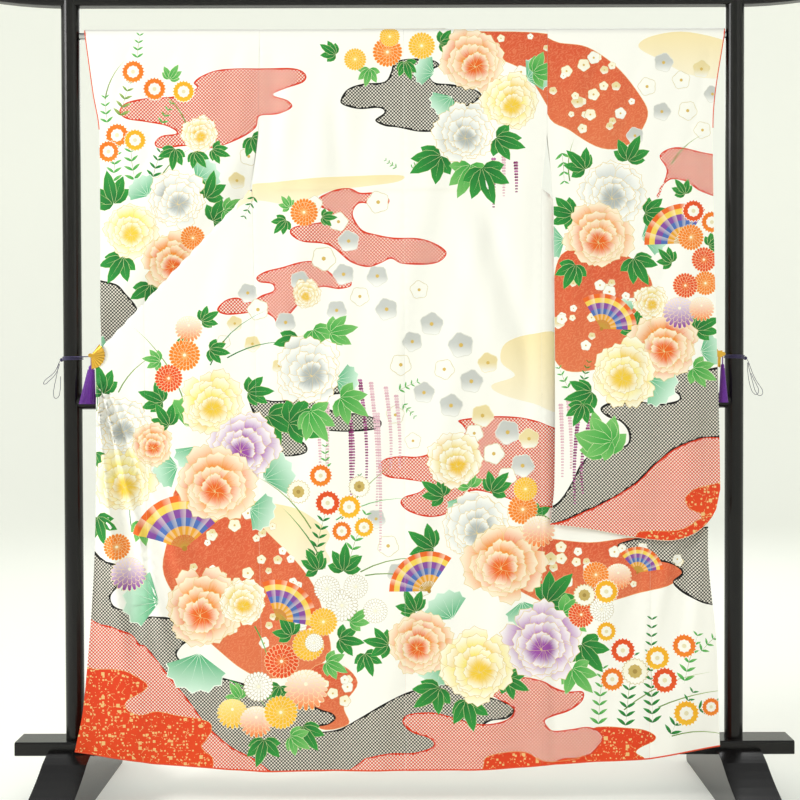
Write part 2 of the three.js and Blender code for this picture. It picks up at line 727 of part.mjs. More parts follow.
function roundedRectangle(width, height, radius) {
  const shape = new THREE.Shape();
  const x = width / 2;
  const y = height / 2;
  shape.moveTo(-x + radius, -y);
  shape.lineTo(x - radius, -y);
  shape.absarc(x - radius, -y + radius, radius, -Math.PI / 2, 0);
  shape.lineTo(x, y - radius);
  shape.absarc(x - radius, y - radius, radius, 0, Math.PI / 2);
  shape.lineTo(-x + radius, y);
  shape.absarc(-x + radius, y - radius, radius, Math.PI / 2, Math.PI);
  shape.lineTo(-x, -y + radius);
  shape.absarc(-x + radius, -y + radius, radius, Math.PI, 1.5 * Math.PI);
  return shape;
}

// A bar along X with a section given in Y and Z.
function barAlongX(shape, fromX, toX, z, segments = 1) {
  const options = { depth: toX - fromX, steps: segments, bevelEnabled: false, curveSegments: 3 };
  const geometry = new THREE.ExtrudeGeometry(shape, options);
  geometry.rotateX(Math.PI / 2);
  geometry.rotateZ(Math.PI / 2);
  geometry.translate(fromX, 0, z);
  return geometry;
}

function post() {
  const bottom = BEAM.top + GAP;
  const profile = [new THREE.Vector2(0, bottom), new THREE.Vector2(POST_RADIUS, bottom)];
  for (const t of steps(5)) {
    const angle = (t * Math.PI) / 2;
    const z = POST_TOP - POST_DOME * (1 - Math.sin(angle));
    profile.push(new THREE.Vector2(t < 1 ? POST_RADIUS * Math.cos(angle) : 0, z));
  }
  const geometry = new THREE.LatheGeometry(profile, POST_SIDES);
  geometry.rotateX(Math.PI / 2);
  return geometry;
}

// Cuts the room of both posts out of a rail.
function coped(geometry) {
  const cutter = new THREE.CylinderGeometry(POST_RADIUS + GAP, POST_RADIUS + GAP, 2 * POST_TOP, POST_SIDES);
  cutter.rotateX(Math.PI / 2);
  cutter.translate(0, 0, POST_TOP);
  let solid = toSolid(geometry);
  for (const x of [-POST_X, POST_X]) {
    solid = solid.subtract(toSolid(cutter.clone().translate(x, 0, 0)));
  }
  return solid;
}

function topRailPieces() {
  const height = TOP_RAIL.top - TOP_RAIL.bottom;
  const section = roundedRectangle(TOP_RAIL.depth, height, TOP_RAIL.round);
  const middleZ = (TOP_RAIL.bottom + TOP_RAIL.top) / 2;
  const middle = barAlongX(section, -POST_X, POST_X, middleZ);
  const end = barAlongX(section, POST_X, TOP_RAIL.halfLength, middleZ, 5);
  const position = end.getAttribute('position');
  for (let i = 0; i < position.count; i += 1) {
    const past = Math.max(0, position.getX(i) - POST_X) / (TOP_RAIL.halfLength - POST_X);
    position.setZ(i, position.getZ(i) + TOP_RAIL.rise * past * past);
  }
  const rightEnd = coped(end);
  return { middle: coped(middle), rightEnd, leftEnd: rightEnd.mirror([1, 0, 0]) };
}

function garmentRod() {
  const half = POST_X - POST_RADIUS - GAP;
  const shoulder = half - ROD_NECK.length;
  const full = shoulder - ROD_NECK.chamfer;
  const points = [[0, -half], [ROD_NECK.radius, -half], [ROD_NECK.radius, -shoulder],
    [ROD_RADIUS, -full], [ROD_RADIUS, full], [ROD_NECK.radius, shoulder],
    [ROD_NECK.radius, half], [0, half]];
  const geometry = new THREE.LatheGeometry(points.map(([r, x]) => new THREE.Vector2(r, x)), 24);
  geometry.rotateZ(-Math.PI / 2);
  geometry.translate(0, 0, ROD_Z);
  return geometry;
}

function middleRail() {
  const geometry = new THREE.CylinderGeometry(MIDDLE_RAIL.radius, MIDDLE_RAIL.radius, 2 * POST_X, 20);
  geometry.rotateZ(Math.PI / 2);
  geometry.translate(0, 0, MIDDLE_RAIL.z);
  return toGeometry(coped(geometry));
}

function baseBeam() {
  const section = roundedRectangle(BEAM.depth, BEAM.top - BEAM.bottom, BEAM.round);
  return barAlongX(section, -BEAM.halfLength, BEAM.halfLength, (BEAM.top + BEAM.bottom) / 2);
}

// A foot seen from the side: flat sole, seat for the beam, and a long convex fall to each toe.
function foot() {
  const { halfLength, crown, lip, shoulder, waist, toe, toeLean, toeRound } = FOOT;
  const seat = BEAM.depth / 2 + GAP;
  const shoulderY = seat + shoulder.out;
  const shoulderZ = crown - shoulder.down;
  const waistY = halfLength * waist.share;
  const waistZ = toe + waist.up;
  const shape = new THREE.Shape();
  shape.moveTo(-halfLength + toeRound, 0);
  shape.lineTo(halfLength - toeRound, 0);
  shape.quadraticCurveTo(halfLength, 0, halfLength, toeRound);
  shape.lineTo(halfLength - toeLean, toe);
  shape.quadraticCurveTo(waistY, waistZ, shoulderY, shoulderZ);
  shape.quadraticCurveTo(seat + lip, crown, seat, crown);
  shape.lineTo(seat, BEAM.bottom - GAP);
  shape.lineTo(-seat, BEAM.bottom - GAP);
  shape.lineTo(-seat, crown);
  shape.quadraticCurveTo(-seat - lip, crown, -shoulderY, shoulderZ);
  shape.quadraticCurveTo(-waistY, waistZ, -halfLength + toeLean, toe);
  shape.lineTo(-halfLength, toeRound);
  shape.quadraticCurveTo(-halfLength, 0, -halfLength + toeRound, 0);
  const options = { depth: FOOT.width, bevelEnabled: false, curveSegments: 6 };
  const geometry = new THREE.ExtrudeGeometry(shape, options);
  geometry.rotateX(Math.PI / 2);
  geometry.rotateZ(Math.PI / 2);
  geometry.translate(-FOOT.width / 2, 0, 0);
  return geometry;
}

// ---------------------------------------------------------------- clips, tassels and ties

function extruded(shape, depth, y) {
  const geometry = new THREE.ExtrudeGeometry(shape, { depth, bevelEnabled: false, steps: 1 });
  geometry.rotateX(Math.PI / 2);
  geometry.translate(0, y + depth, 0);
  return geometry;
}

// A pleated fan and a plain jaw, joined outside the free edge of the cloth. fanFace is the side of
// the cloth that the fan lies on.
function fanClip(half, fanFace) {
  const face = openedFront(half, half.clip.x, half.clip.drop);
  const front = face - WALL / 2 - (fanFace < 0 ? 5 : 2) * GAP;
  const behind = face + 2 * FOLD_RADIUS + COLLAR_WALL + 2 * GAP;
  const pivot = {
    x: half.clip.x + half.sign * PIVOT.out,
    z: ROD_Z + BEND_DROP - half.clip.drop + PIVOT.up,
  };
  const fan = new THREE.Shape();
  fan.moveTo(0, 0);
  for (let i = 0; i <= 2 * FAN.ribs; i += 1) {
    const angle = THREE.MathUtils.degToRad(lerp(FAN.from, FAN.to, i / (2 * FAN.ribs)));
    const radius = FAN.radius - (i % 2) * FAN.groove;
    fan.lineTo(-half.sign * radius * Math.cos(angle), radius * Math.sin(angle));
  }
  const fanY = fanFace < 0 ? front - FAN.thickness : behind;
  const jawY = fanFace < 0 ? behind : front - JAW.thickness;
  const jaw = new THREE.Shape();
  jaw.moveTo(0, -JAW.height / 2);
  jaw.lineTo(-half.sign * JAW.reach, -JAW.height / 3);
  jaw.lineTo(-half.sign * JAW.reach, JAW.height / 3);
  jaw.lineTo(0, JAW.height / 2);
  const from = Math.min(fanY, jawY);
  const to = Math.max(fanY + FAN.thickness, jawY + JAW.thickness);
  const hinge = new THREE.CylinderGeometry(HINGE.radius, HINGE.radius, to - from, 16);
  hinge.translate(half.sign * HINGE.out, (from + to) / 2, 0);
  const solid = toSolid(extruded(fan, FAN.thickness, fanY))
    .add(toSolid(extruded(jaw, JAW.thickness, jawY)))
    .add(toSolid(hinge));
  return { geometry: toGeometry(solid), pivot, middle: (from + to) / 2 };
}

// A knotted head and a skirt of threads, flattened, hung by a short cord under the clip's hinge.
function tassel(half, clip) {
  const { out, forward, wide, deep } = half.tassel;
  const [top] = TASSEL_PROFILE;
  const hem = TASSEL_PROFILE[TASSEL_PROFILE.length - 1];
  const outline = [
    { z: TASSEL.cord, radius: 0 },
    { z: TASSEL.cord, radius: top.radius },
    ...TASSEL_PROFILE,
    { z: hem.z, radius: 0 },
  ].reverse().map(({ radius, z }) => new THREE.Vector2(radius, z));
  const geometry = new THREE.LatheGeometry(outline, TASSEL.sides);
  geometry.rotateX(Math.PI / 2);
  const position = geometry.getAttribute('position');
  for (let i = 0; i < position.count; i += 1) {
    const below = Math.min(0, position.getZ(i));
    position.setX(i, position.getX(i) * wide - half.sign * out * below);
    position.setY(i, position.getY(i) * deep + forward * below);
  }
  geometry.computeVertexNormals();
  const x = clip.pivot.x + half.sign * HINGE.out;
  return { geometry, x, y: clip.middle, z: clip.pivot.z - HINGE.radius - GAP - TASSEL.cord };
}

function tube(points, radius, count) {
  const section = new THREE.Shape();
  section.absarc(0, 0, radius, 0, 2 * Math.PI);
  const extrudePath = new THREE.CatmullRomCurve3(points);
  return new THREE.ExtrudeGeometry(section, { extrudePath, steps: count, curveSegments: 4 });
}

// A cord from the clip's hinge, twice round the post, to a knot on the post's outer side.
function tieCord(half, clip) {
  const centre = half.sign * POST_X;
  const radius = POST_RADIUS + 3 * GAP + TIE.radius;
  const hinge = clip.pivot.x + half.sign * (HINGE.out + HINGE.radius + GAP);
  const points = [new THREE.Vector3(hinge, clip.middle, TIE.z)];
  for (let degrees = TIE.from; degrees <= TIE.to; degrees += TIE.step) {
    const angle = THREE.MathUtils.degToRad(degrees);
    points.push(new THREE.Vector3(
      centre - half.sign * radius * Math.cos(angle),
      -radius * Math.sin(angle),
      TIE.z - (TIE.pitch * (degrees - TIE.from)) / 360,
    ));
  }
  const last = points[points.length - 1];
  const knot = new THREE.SphereGeometry(TIE.knot, 12, 8);
  const knotAt = new THREE.Vector3(centre + half.sign * (POST_RADIUS + GAP + TIE.knot), 0, last.z);
  knot.translate(knotAt.x, knotAt.y, knotAt.z);
  const solid = toSolid(tube(points, TIE.radius, points.length)).add(toSolid(knot));
  return { geometry: toGeometry(solid), knotAt };
}

function bowLoops(half, route, knotAt) {
  const points = route.map(([out, towards, down]) => new THREE.Vector3(
    knotAt.x + half.sign * out,
    knotAt.y - towards,
    knotAt.z - down,
  ));
  return tube(points, LOOP.radius, LOOP.steps);
}

// ---------------------------------------------------------------- model

const furisode = new THREE.Group();

for (const [side, half] of Object.entries(HALVES)) {
  furisode.add(makeMesh(`back_${side}`, backPanel(half), SILK));
  furisode.add(makeMesh(`front_${side}`, frontPanel(half), FRONT_SILK));
  furisode.add(makeMesh(`okumi_${side}`, overlapPanel(half), SILK));
  furisode.add(makeMesh(`sleeve_${side}`, sleeve(half, SLEEVE_FOLDS[side]), FRONT_SILK));
}
furisode.add(makeMesh('collar', collarStrip(), COLLAR_SILK));

for (const [side, sign] of [['left', -1], ['right', 1]]) {
  const upright = makeMesh(`post_${side}`, post(), LACQUER);
  upright.position.x = sign * POST_X;
  furisode.add(upright);
  const support = makeMesh(`foot_${side}`, foot(), LACQUER);
  support.position.x = sign * POST_X;
  furisode.add(support);
}
const rail = topRailPieces();
furisode.add(makeMesh('top_rail', toGeometry(rail.middle), LACQUER));
furisode.add(makeMesh('top_rail_end_left', toGeometry(rail.leftEnd), LACQUER));
furisode.add(makeMesh('top_rail_end_right', toGeometry(rail.rightEnd), LACQUER));
furisode.add(makeMesh('garment_rod', garmentRod(), STEEL));
furisode.add(makeMesh('middle_rail', middleRail(), LACQUER));
furisode.add(makeMesh('base_beam', baseBeam(), LACQUER));

for (const [side, half] of Object.entries(HALVES)) {
  const clip = fanClip(half, half.sign);
  const fan = makeMesh(`fan_clip_${side}`, clip.geometry, GILT);
  fan.position.set(clip.pivot.x, 0, clip.pivot.z);
  furisode.add(fan);
  const hanging = tassel(half, clip);
  const tuft = makeMesh(`tassel_${side}`, hanging.geometry, PURPLE);
  tuft.position.set(hanging.x, hanging.y, hanging.z);
  furisode.add(tuft);
  const tie = tieCord(half, clip);
  furisode.add(makeMesh(`tie_cord_${side}`, tie.geometry, PURPLE));
  furisode.add(makeMesh(`tie_bow_${side}`, bowLoops(half, BOW[side], tie.knotAt), PURPLE));
}

export default furisode;
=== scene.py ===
# %% [markdown]
# # A furisode on its stand
# A furisode is a long-sleeved kimono. This one hangs from its shoulders on a lacquered stand, back
# outwards, with both fronts opened sideways so that the whole printed picture shows. The packed
# model gives the size and place of every piece, and the cells below give them cloth, dye and lacquer.

# %% Load the frame
import math
import random
from collections import namedtuple

import bmesh
import bpy
import numpy as np
from mathutils import Matrix, Vector
from mathutils.geometry import delaunay_2d_cdt


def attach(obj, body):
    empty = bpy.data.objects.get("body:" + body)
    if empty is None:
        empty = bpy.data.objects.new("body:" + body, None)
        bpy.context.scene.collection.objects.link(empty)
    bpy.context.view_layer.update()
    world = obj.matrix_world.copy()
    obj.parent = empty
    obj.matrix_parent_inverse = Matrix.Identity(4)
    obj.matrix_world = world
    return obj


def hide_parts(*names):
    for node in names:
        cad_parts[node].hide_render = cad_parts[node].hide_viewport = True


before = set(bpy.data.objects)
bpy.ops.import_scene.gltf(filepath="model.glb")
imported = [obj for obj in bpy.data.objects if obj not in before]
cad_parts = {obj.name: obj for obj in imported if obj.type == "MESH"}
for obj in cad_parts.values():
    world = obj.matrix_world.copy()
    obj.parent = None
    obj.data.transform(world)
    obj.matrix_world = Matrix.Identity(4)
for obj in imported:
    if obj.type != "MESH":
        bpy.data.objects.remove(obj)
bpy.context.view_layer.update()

MM = 0.001


def shown(name, data):
    """A new object of the scene, for a mesh, a curve, a lamp or a camera."""
    made = bpy.data.objects.new(name, data)
    bpy.context.scene.collection.objects.link(made)
    return made


print("nodes:", len(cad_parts))

# %% [markdown]
# ## The camera
# The viewer stands about three metres in front of the garment, at the height of its middle, and
# looks very slightly down. A long lens keeps the rails and posts almost straight.

# %% Camera
CAMERA_PLACE = Vector((0.0, -3.0, 0.927))
CAMERA_TILT, CAMERA_ROLL = 1.09, 0.15
LENS_MM, SENSOR_MM = 61.8, 36
SIDE_SHIFT = -0.0044

camera = shown("camera", bpy.data.cameras.new("camera"))
camera.location = CAMERA_PLACE
camera.rotation_euler = (math.radians(90 - CAMERA_TILT), math.radians(CAMERA_ROLL), 0)
camera.data.lens = LENS_MM
camera.data.sensor_width = SENSOR_MM
camera.data.shift_x = SIDE_SHIFT
bpy.context.scene.camera = camera

# %% [markdown]
# ## Small helpers for materials
# Every finish is a Principled shader with nodes for what varies. `finish` makes the shader, and
# `node` adds a node, sets its inputs and links what it is given.

# %% Material helpers


def linear(code):
    """A dyer's colour written as six hex digits, as the linear numbers that a shader wants."""
    parts = [int(code[i:i + 2], 16) / 255 for i in (0, 2, 4)]
    return [p / 12.92 if p <= 0.04045 else ((p + 0.055) / 1.055) ** 2.4 for p in parts]


def finish(name, **sockets):
    """A material with one Principled shader whose sockets are set by name."""
    material = bpy.data.materials.new(name)
    material.use_nodes = True
    shader = material.node_tree.nodes["Principled BSDF"]
    for key, value in sockets.items():
        shader.inputs[key.replace("_", " ")].default_value = value
    return material, material.node_tree, shader


def node(tree, kind, inputs=None, **settings):
    """A new node. inputs maps a socket to a number, a vector or another node's output."""
    made = tree.nodes.new("ShaderNode" + kind)
    for key, value in settings.items():
        setattr(made, key, value)
    for key, value in (inputs or {}).items():
        if isinstance(value, bpy.types.NodeSocket):
            tree.links.new(value, made.inputs[key])
        else:
            made.inputs[key].default_value = value
    return made


def maths(tree, operation, a, b=0.0):
    return node(tree, "Math", {0: a, 1: b}, operation=operation).outputs[0]


def mix(tree, share, a, b):
    """The colour a where share is 0 and b where it is 1."""
    made = node(tree, "Mix", {0: share, 6: a, 7: b}, data_type="RGBA")
    return made.outputs[2]


def bump(tree, shader, height, strength, distance):
    made = node(tree, "Bump", {"Height": height, "Strength": strength, "Distance": distance})
    tree.links.new(made.outputs[0], shader.inputs["Normal"])


# %% [markdown]
# ## How the cloth hangs
# Each sheet is worked out from two lengths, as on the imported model: x across the stand, and drop,
# measured down the cloth from the top of the rod. These are the same rules and the same sizes in
# millimetres, with softer folds added, so the fine cloth lies where the plain walls do.

# %% Sizes of the hanging garment
GAP = 0.3
ROD_Z = 1662
BEND = 13.1
BEND_DROP = BEND * math.pi / 2
CENTRE_BACK = 2
SEAMED = 238
ARMPIT = 356
FOLD_RADIUS = 4
POUCH = 4.6
NECK_HALF = 92
OKUMI_BEND = 190
BACK_HEM = 1609
SLEEVE_CORNER = 110
SLEEVE_INNER, SLEEVE_LOW, SLEEVE_LOW_AT = 1081, 1115, 0.72

# Tables are columns of drop and value.
HANG = [(BEND_DROP, -BEND), (ARMPIT, -20), (600, -30), (800, -40), (1100, -47), (1550, -57), (1620, -58)]
SEAM_DEPTH = [(BEND_DROP, 2 * BEND), (120, 22), (SEAMED, 14)]

HALVES = {
    "left": dict(
        sign=-1, neck=CENTRE_BACK - NECK_HALF, front_depth=8, front_reach=300, front_shift=-4,
        sleeve_back=14, sleeve_forward=0, pleat=5,
        edge=[(0, -310), (SEAMED, -313), (ARMPIT, -327), (1620, -302)],
        okumi=[(600, -560), (1200, -552), (1600, -541)],
        outer=[(700, -664), (813, -661), (1162, -668), (1467, -690), (1566, -709)],
        clip=(-664, 716), collar_bend=(-200, 500), hem=(1611, 1592, 1566),
        sleeve_clear=[(SEAMED, 0), (ARMPIT, 6), (500, 16), (1120, 22)],
        sleeve_outer=[(0, -690), (147, -670), (230, -657), (1120, -655)],
    ),
    "right": dict(
        sign=1, neck=CENTRE_BACK + NECK_HALF, front_depth=14, front_reach=30, front_shift=6,
        sleeve_back=0, sleeve_forward=7, pleat=2.5,
        edge=[(0, 314), (SEAMED, 312), (ARMPIT, 299), (1620, 297)],
        okumi=[(600, 535), (1600, 529)],
        outer=[(700, 681), (1118, 655), (1336, 673), (1560, 681)],
        clip=(681, 716), collar_bend=(204, 500), hem=(1599, 1587, 1560),
        sleeve_clear=[(SEAMED, 0), (ARMPIT, 23), (460, 26), (990, 26), (1090, 15)],
        sleeve_outer=[(0, 699), (212, 671), (996, 680), (1120, 680)],
    ),
}

# Soft folds of the back: from x, drop to x, drop, then width and depth.
BACK_FOLDS = [
    (160, 330, 296, 812, 24, 5),
    (120, 372, 214, 740, 30, -4),
    (-150, 150, -136, 350, 20, 3.5),
    (-62, 380, -120, 900, 34, 3),
    (-250, 40, -262, 300, 22, -3),
]
# Soft folds of each sleeve: share of the width, drop, spread across, spread down, depth.
SLEEVE_FOLDS = {
    "left": [(0.3, 330, 0.2, 200, -4), (0.75, 420, 0.16, 220, -3)],
    "right": [
        (0.42, 930, 0.16, 190, -7), (0.8, 900, 0.13, 260, -8),
        (0.25, 560, 0.2, 260, -3), (0.62, 110, 0.12, 90, -3),
    ],
}

# %% Curves through tables, and the ways the cloth bends


def smoothstep(value, low, high):
    t = np.clip((value - low) / (high - low), 0, 1)
    return t * t * (3 - 2 * t)


def straight(rows, drop):
    """The value at a drop, straight from row to row."""
    return np.interp(drop, [r[0] for r in rows], [r[1] for r in rows])


def along(rows, drop):
    """The value at a drop on one smooth curve through the rows."""
    at, value = np.array(rows, float).T
    slope = np.empty(len(at))
    slope[0] = (value[1] - value[0]) / (at[1] - at[0])
    slope[-1] = (value[-1] - value[-2]) / (at[-1] - at[-2])
    slope[1:-1] = (value[2:] - value[:-2]) / (at[2:] - at[:-2])
    drop = np.clip(drop, at[0], at[-1])
    i = np.clip(np.searchsorted(at, drop, side="right") - 1, 0, len(at) - 2)
    span = at[i + 1] - at[i]
    t = (drop - at[i]) / span
    rise = 3 * t * t - 2 * t ** 3
    ends = slope[i] * span * t * (1 - t) ** 2 + slope[i + 1] * span * t * t * (t - 1)
    return value[i] * (1 - rise) + value[i + 1] * rise + ends


def hang(drop):
    return along(HANG, drop)


def edge_x(half, drop):
    return straight(half["edge"], drop)


def place(x, drop, face, y):
    """Points of cloth in millimetres. Above the rod's side they turn over the top of the rod."""
    angle = np.minimum(drop, BEND_DROP) / BEND
    over = drop < BEND_DROP
    depth = np.where(over, face * BEND * np.sin(angle), y)
    height = np.where(over, ROD_Z + BEND * np.cos(angle), ROD_Z + BEND_DROP - drop)
    return np.stack([x + 0 * drop, depth + 0 * drop, height], axis=-1)


def fold_line(half):
    """The diagonal fold of an opened front: its start, its direction and the step out of it."""
    start = np.array([float(edge_x(half, ARMPIT)), ARMPIT])
    run = np.array(half["clip"]) - start
    run = run / np.hypot(*run)
    out = np.array([half["sign"] * run[1], -half["sign"] * run[0]])
    return start, run, out


def below_fold(half, x, drop):
    start, _, out = fold_line(half)
    return -((x - start[0]) * out[0] + (drop - start[1]) * out[1])


def clip_pleats(half, x, drop):
    """Narrow pleats that fan out below the clip."""
    aside = half["sign"] * (half["clip"][0] - x)
    below = drop - half["clip"][1]
    reach = np.hypot(aside, below)
    turn = np.degrees(np.arctan2(aside, below))
    strength = np.exp(-(((turn - 9) / 13) ** 2)) * smoothstep(reach, 20, 130)
    fade = (1 - smoothstep(reach, 420, 820)) * smoothstep(below_fold(half, x, drop), 0, 70)
    fade = fade * smoothstep(np.abs(x - along(half["okumi"], drop)), 0, 16)
    fine = 0.25 * np.cos(2 * np.pi * turn / 4.1 + 1)
    return 1.7 * half["pleat"] * strength * fade * (np.cos(2 * np.pi * turn / 9.5) + fine)


def fold_depth(fold, x, drop):
    x0, drop0, x1, drop1, width, depth = fold
    length = math.hypot(x1 - x0, drop1 - drop0)
    ux, ud = (x1 - x0) / length, (drop1 - drop0) / length
    run = ((x - x0) * ux + (drop - drop0) * ud) / length
    aside = (x - x0) * ud - (drop - drop0) * ux
    ends = smoothstep(run, -0.1, 0.3) * (1 - smoothstep(run, 0.7, 1.1))
    return depth * ends * np.exp(-((aside / width) ** 2))


# %% [markdown]
# Cloth that hangs still is never quite flat. `ripple` adds shallow waves, longer down than across.
# It fades to nothing at the side seams, so that neighbours still meet there.

# %% Soft waves, and the depth of each sheet


def ripple(x, drop, seed):
    waves = 0
    for k, (across, down, height) in enumerate([(230, 900, 2.2), (120, 560, 1.1), (64, 340, 0.4)]):
        phase = seed * 2.1 + k * 1.7
        bend = 0.6 * np.sin(2 * np.pi * drop / (down * 1.3) + phase)
        waves = waves + height * np.sin(2 * np.pi * x / across + 2 * np.pi * drop / down + phase + bend)
    return waves


def back_depth(x, drop):
    from_edge = np.minimum(x - edge_x(HALVES["left"], drop), edge_x(HALVES["right"], drop) - x)
    folds = sum(fold_depth(fold, x, drop) for fold in BACK_FOLDS) + ripple(x, drop, 1)
    tuck = smoothstep(x, -318, -258) * (1 - smoothstep(x, 172, 232))
    tuck = tuck * smoothstep(drop, 290, 352) * (1 - smoothstep(drop, 354, 364))
    seam = 0.7 * np.exp(-(((x - CENTRE_BACK) / 4) ** 2)) + 0.7 * np.exp(-((from_edge / 4) ** 2))
    quiet = smoothstep(from_edge, 0, 40) * smoothstep(drop, BEND_DROP, 110)
    return hang(drop) + folds * quiet - 4 * tuck + seam * smoothstep(drop, BEND_DROP, 60)


def opened_front(half, x, drop):
    out = half["sign"] * (x - edge_x(half, drop))
    okumi = np.abs(x - along(half["okumi"], drop))
    seam = 0.7 * np.exp(-((out / 4) ** 2)) + 0.7 * np.exp(-((okumi / 4) ** 2))
    seam = seam * smoothstep(below_fold(half, x, drop), 0, 50)
    quiet = smoothstep(out, 0, 60) * smoothstep(below_fold(half, x, drop), 0, 90)
    soft = (ripple(x, drop, 2) * quiet) * smoothstep(okumi, 0, 30)
    shift = half["front_shift"] * smoothstep(out, 0, half["front_reach"])
    return hang(drop) + shift + clip_pleats(half, x, drop) + seam + 0.8 * soft


def seam_depth(drop, own):
    t = smoothstep(drop, SEAMED, ARMPIT)
    return along(SEAM_DEPTH, drop) * (1 - t) + own * t


def collar_seam(half, t):
    """The seam of the collar, from the neck at t 0 to the clip at t 1."""
    t = np.asarray(t, float)
    x = (1 - t) ** 2 * half["neck"] + 2 * t * (1 - t) * half["collar_bend"][0] + t * t * half["clip"][0]
    drop = 2 * t * (1 - t) * half["collar_bend"][1] + t * t * half["clip"][1]
    return x, drop


def collar_share(half, drop):
    square = 2 * half["collar_bend"][1] - half["clip"][1]
    full = 2 * half["collar_bend"][1]
    return (full - np.sqrt(np.maximum(full * full - 4 * square * drop, 0))) / (2 * square)


def upper_depth(half, x, drop):
    """Depth of the upper front, which hangs behind the back and meets the diagonal fold."""
    start, run, _ = fold_line(half)
    tip = collar_share(half, SEAMED)
    fold_x = start[0] + (np.maximum(drop, ARMPIT) - ARMPIT) * run[0] / run[1]
    near = np.where(drop < ARMPIT, edge_x(half, drop), fold_x)
    share = collar_share(half, np.minimum(drop, half["clip"][1]))
    far = collar_seam(half, share)[0]
    w = np.clip((x - near) / np.where(np.abs(far - near) < 1, half["sign"] * -1.0, far - near), 0, 1)
    u_near = np.clip((drop - SEAMED) / (ARMPIT - SEAMED), 0, 1)
    u_far = np.clip((share - tip) / (1 - tip), 0, 1) ** (2 / 3)
    u = u_near * (1 - w) + u_far * w
    past = (x - start[0]) * run[0] + (drop - start[1]) * run[1]
    foot_x = start[0] + run[0] * np.clip(past, 0, None)
    aside = half["sign"] * (foot_x - edge_x(half, ARMPIT))
    shift = half["front_shift"] * smoothstep(aside, 0, half["front_reach"])
    offset = shift + 2 * FOLD_RADIUS - half["front_depth"]
    return hang(drop) + seam_depth(drop, half["front_depth"]) + u * u * offset


# %% [markdown]
# ## Flat cloth and hanging cloth
# A maker dyes flat cloth, so each piece has its own flat coordinates, and a rule that says where a
# flat point hangs. On an opened front the rule turns the cloth over at the diagonal fold. A sleeve
# is one length: positive down the side that faces the viewer, negative down the other side.

# %% From flat to hanging


def hang_back(half):
    return lambda x, s: place(x, s, -1, back_depth(x, s))


def hang_front(half):
    start, run, out = fold_line(half)
    turn = math.pi * FOLD_RADIUS

    def rule(u, v):
        d = (u - start[0]) * out[0] + (v - start[1]) * out[1]
        past = (u - start[0]) * run[0] + (v - start[1]) * run[1]
        lower = place(u, v, 1, opened_front(half, u, v))
        base_x, base_v = u - out[0] * d, v - out[1] * d
        angle = np.clip(d / FOLD_RADIUS, 0, math.pi) - math.pi / 2
        reach = FOLD_RADIUS * np.cos(angle)
        depth = opened_front(half, base_x, base_v) + FOLD_RADIUS * (1 + np.sin(angle))
        arc = place(base_x + out[0] * reach, base_v + out[1] * reach, 1, depth)
        qx, qv = u - out[0] * (2 * d - turn), v - out[1] * (2 * d - turn)
        qv = np.maximum(qv, 0)
        upper = place(qx, qv, 1, upper_depth(half, qx, qv))
        is_lower, is_arc = (past >= 0) & (d <= 0), (past >= 0) & (d > 0) & (d < turn)
        return np.where(is_lower[..., None], lower, np.where(is_arc[..., None], arc, upper))

    return rule


def unfold(half, x, drop):
    """Flat coordinates of a point of the upper front."""
    _, _, out = fold_line(half)
    shift = 2 * below_fold(half, x, drop) + math.pi * FOLD_RADIUS
    return x + out[0] * shift, drop + out[1] * shift


def sleeve_sides(half, drop):
    inner = edge_x(half, drop) + half["sign"] * (GAP / 2 + along(half["sleeve_clear"], drop))
    return inner, along(half["sleeve_outer"], drop)


def sleeve_bottom(half, across):
    level = SLEEVE_INNER - SLEEVE_CORNER
    inner, outer = sleeve_sides(half, level)
    width = abs(outer - inner)
    base = SLEEVE_INNER + (SLEEVE_LOW - SLEEVE_INNER) * smoothstep(across, 0, SLEEVE_LOW_AT)
    past = np.clip(across * width - (width - SLEEVE_CORNER), 0, SLEEVE_CORNER)
    return base - SLEEVE_CORNER + np.sqrt(SLEEVE_CORNER ** 2 - past ** 2)


def hang_sleeve(side):
    half = HALVES[side]

    def rule(x, s):
        drop = np.abs(s)
        inner, outer = sleeve_sides(half, drop)
        across = np.clip((x - inner) / (outer - inner), 0, 1)
        bottom = sleeve_bottom(half, across)
        back = half["sleeve_back"] * smoothstep(below_fold(half, x, drop), -66, 0)
        near = hang(drop) + back - half["sleeve_forward"] * smoothstep(drop, SEAMED, 400)
        sewn = 1.9
        opened = 2 * BEND + (sewn - 2 * BEND) * smoothstep(drop, BEND_DROP, SEAMED)
        t = smoothstep(across, 0, 1)
        pouch = seam_depth(drop, POUCH) * (1 - t) + opened * t
        to_hem = 1 - np.exp(np.minimum((drop - bottom) / 60, 0))
        depth = sewn + (pouch - sewn) * to_hem
        bulge = sum(
            deep * np.exp(-(((across - at) / wide) ** 2)) * np.exp(-(((drop - level) / tall) ** 2))
            for at, level, wide, tall, deep in SLEEVE_FOLDS[side]
        ) - 0.8 * np.abs(ripple(x, drop, 3))
        held = smoothstep(across, 0, 0.12) * (1 - smoothstep(across, 0.86, 1))
        low = to_hem * smoothstep(drop, BEND_DROP, BEND_DROP + 60)
        front = place(x, drop, -1, near + bulge * held * low)
        behind = place(x, drop, 1, near + depth)
        return np.where((s >= 0)[..., None], front, behind)

    return rule


# %% [markdown]
# ## Outlines of the cut pieces
# Each piece's edge is walked once round, in flat coordinates, with a point every few millimetres.

# %% Outlines
STEP = 9


def walk(from_value, to_value, step=STEP):
    count = max(2, int(abs(to_value - from_value) / step) + 1)
    return np.linspace(from_value, to_value, count)


def joined(*stretches):
    """One closed outline from stretches of points, without repeats where they meet."""
    points = np.concatenate([np.stack(np.broadcast_arrays(x, v), axis=-1) for x, v in stretches])
    keep = np.hypot(*(points - np.roll(points, 1, axis=0)).T) > 0.2
    return points[keep]


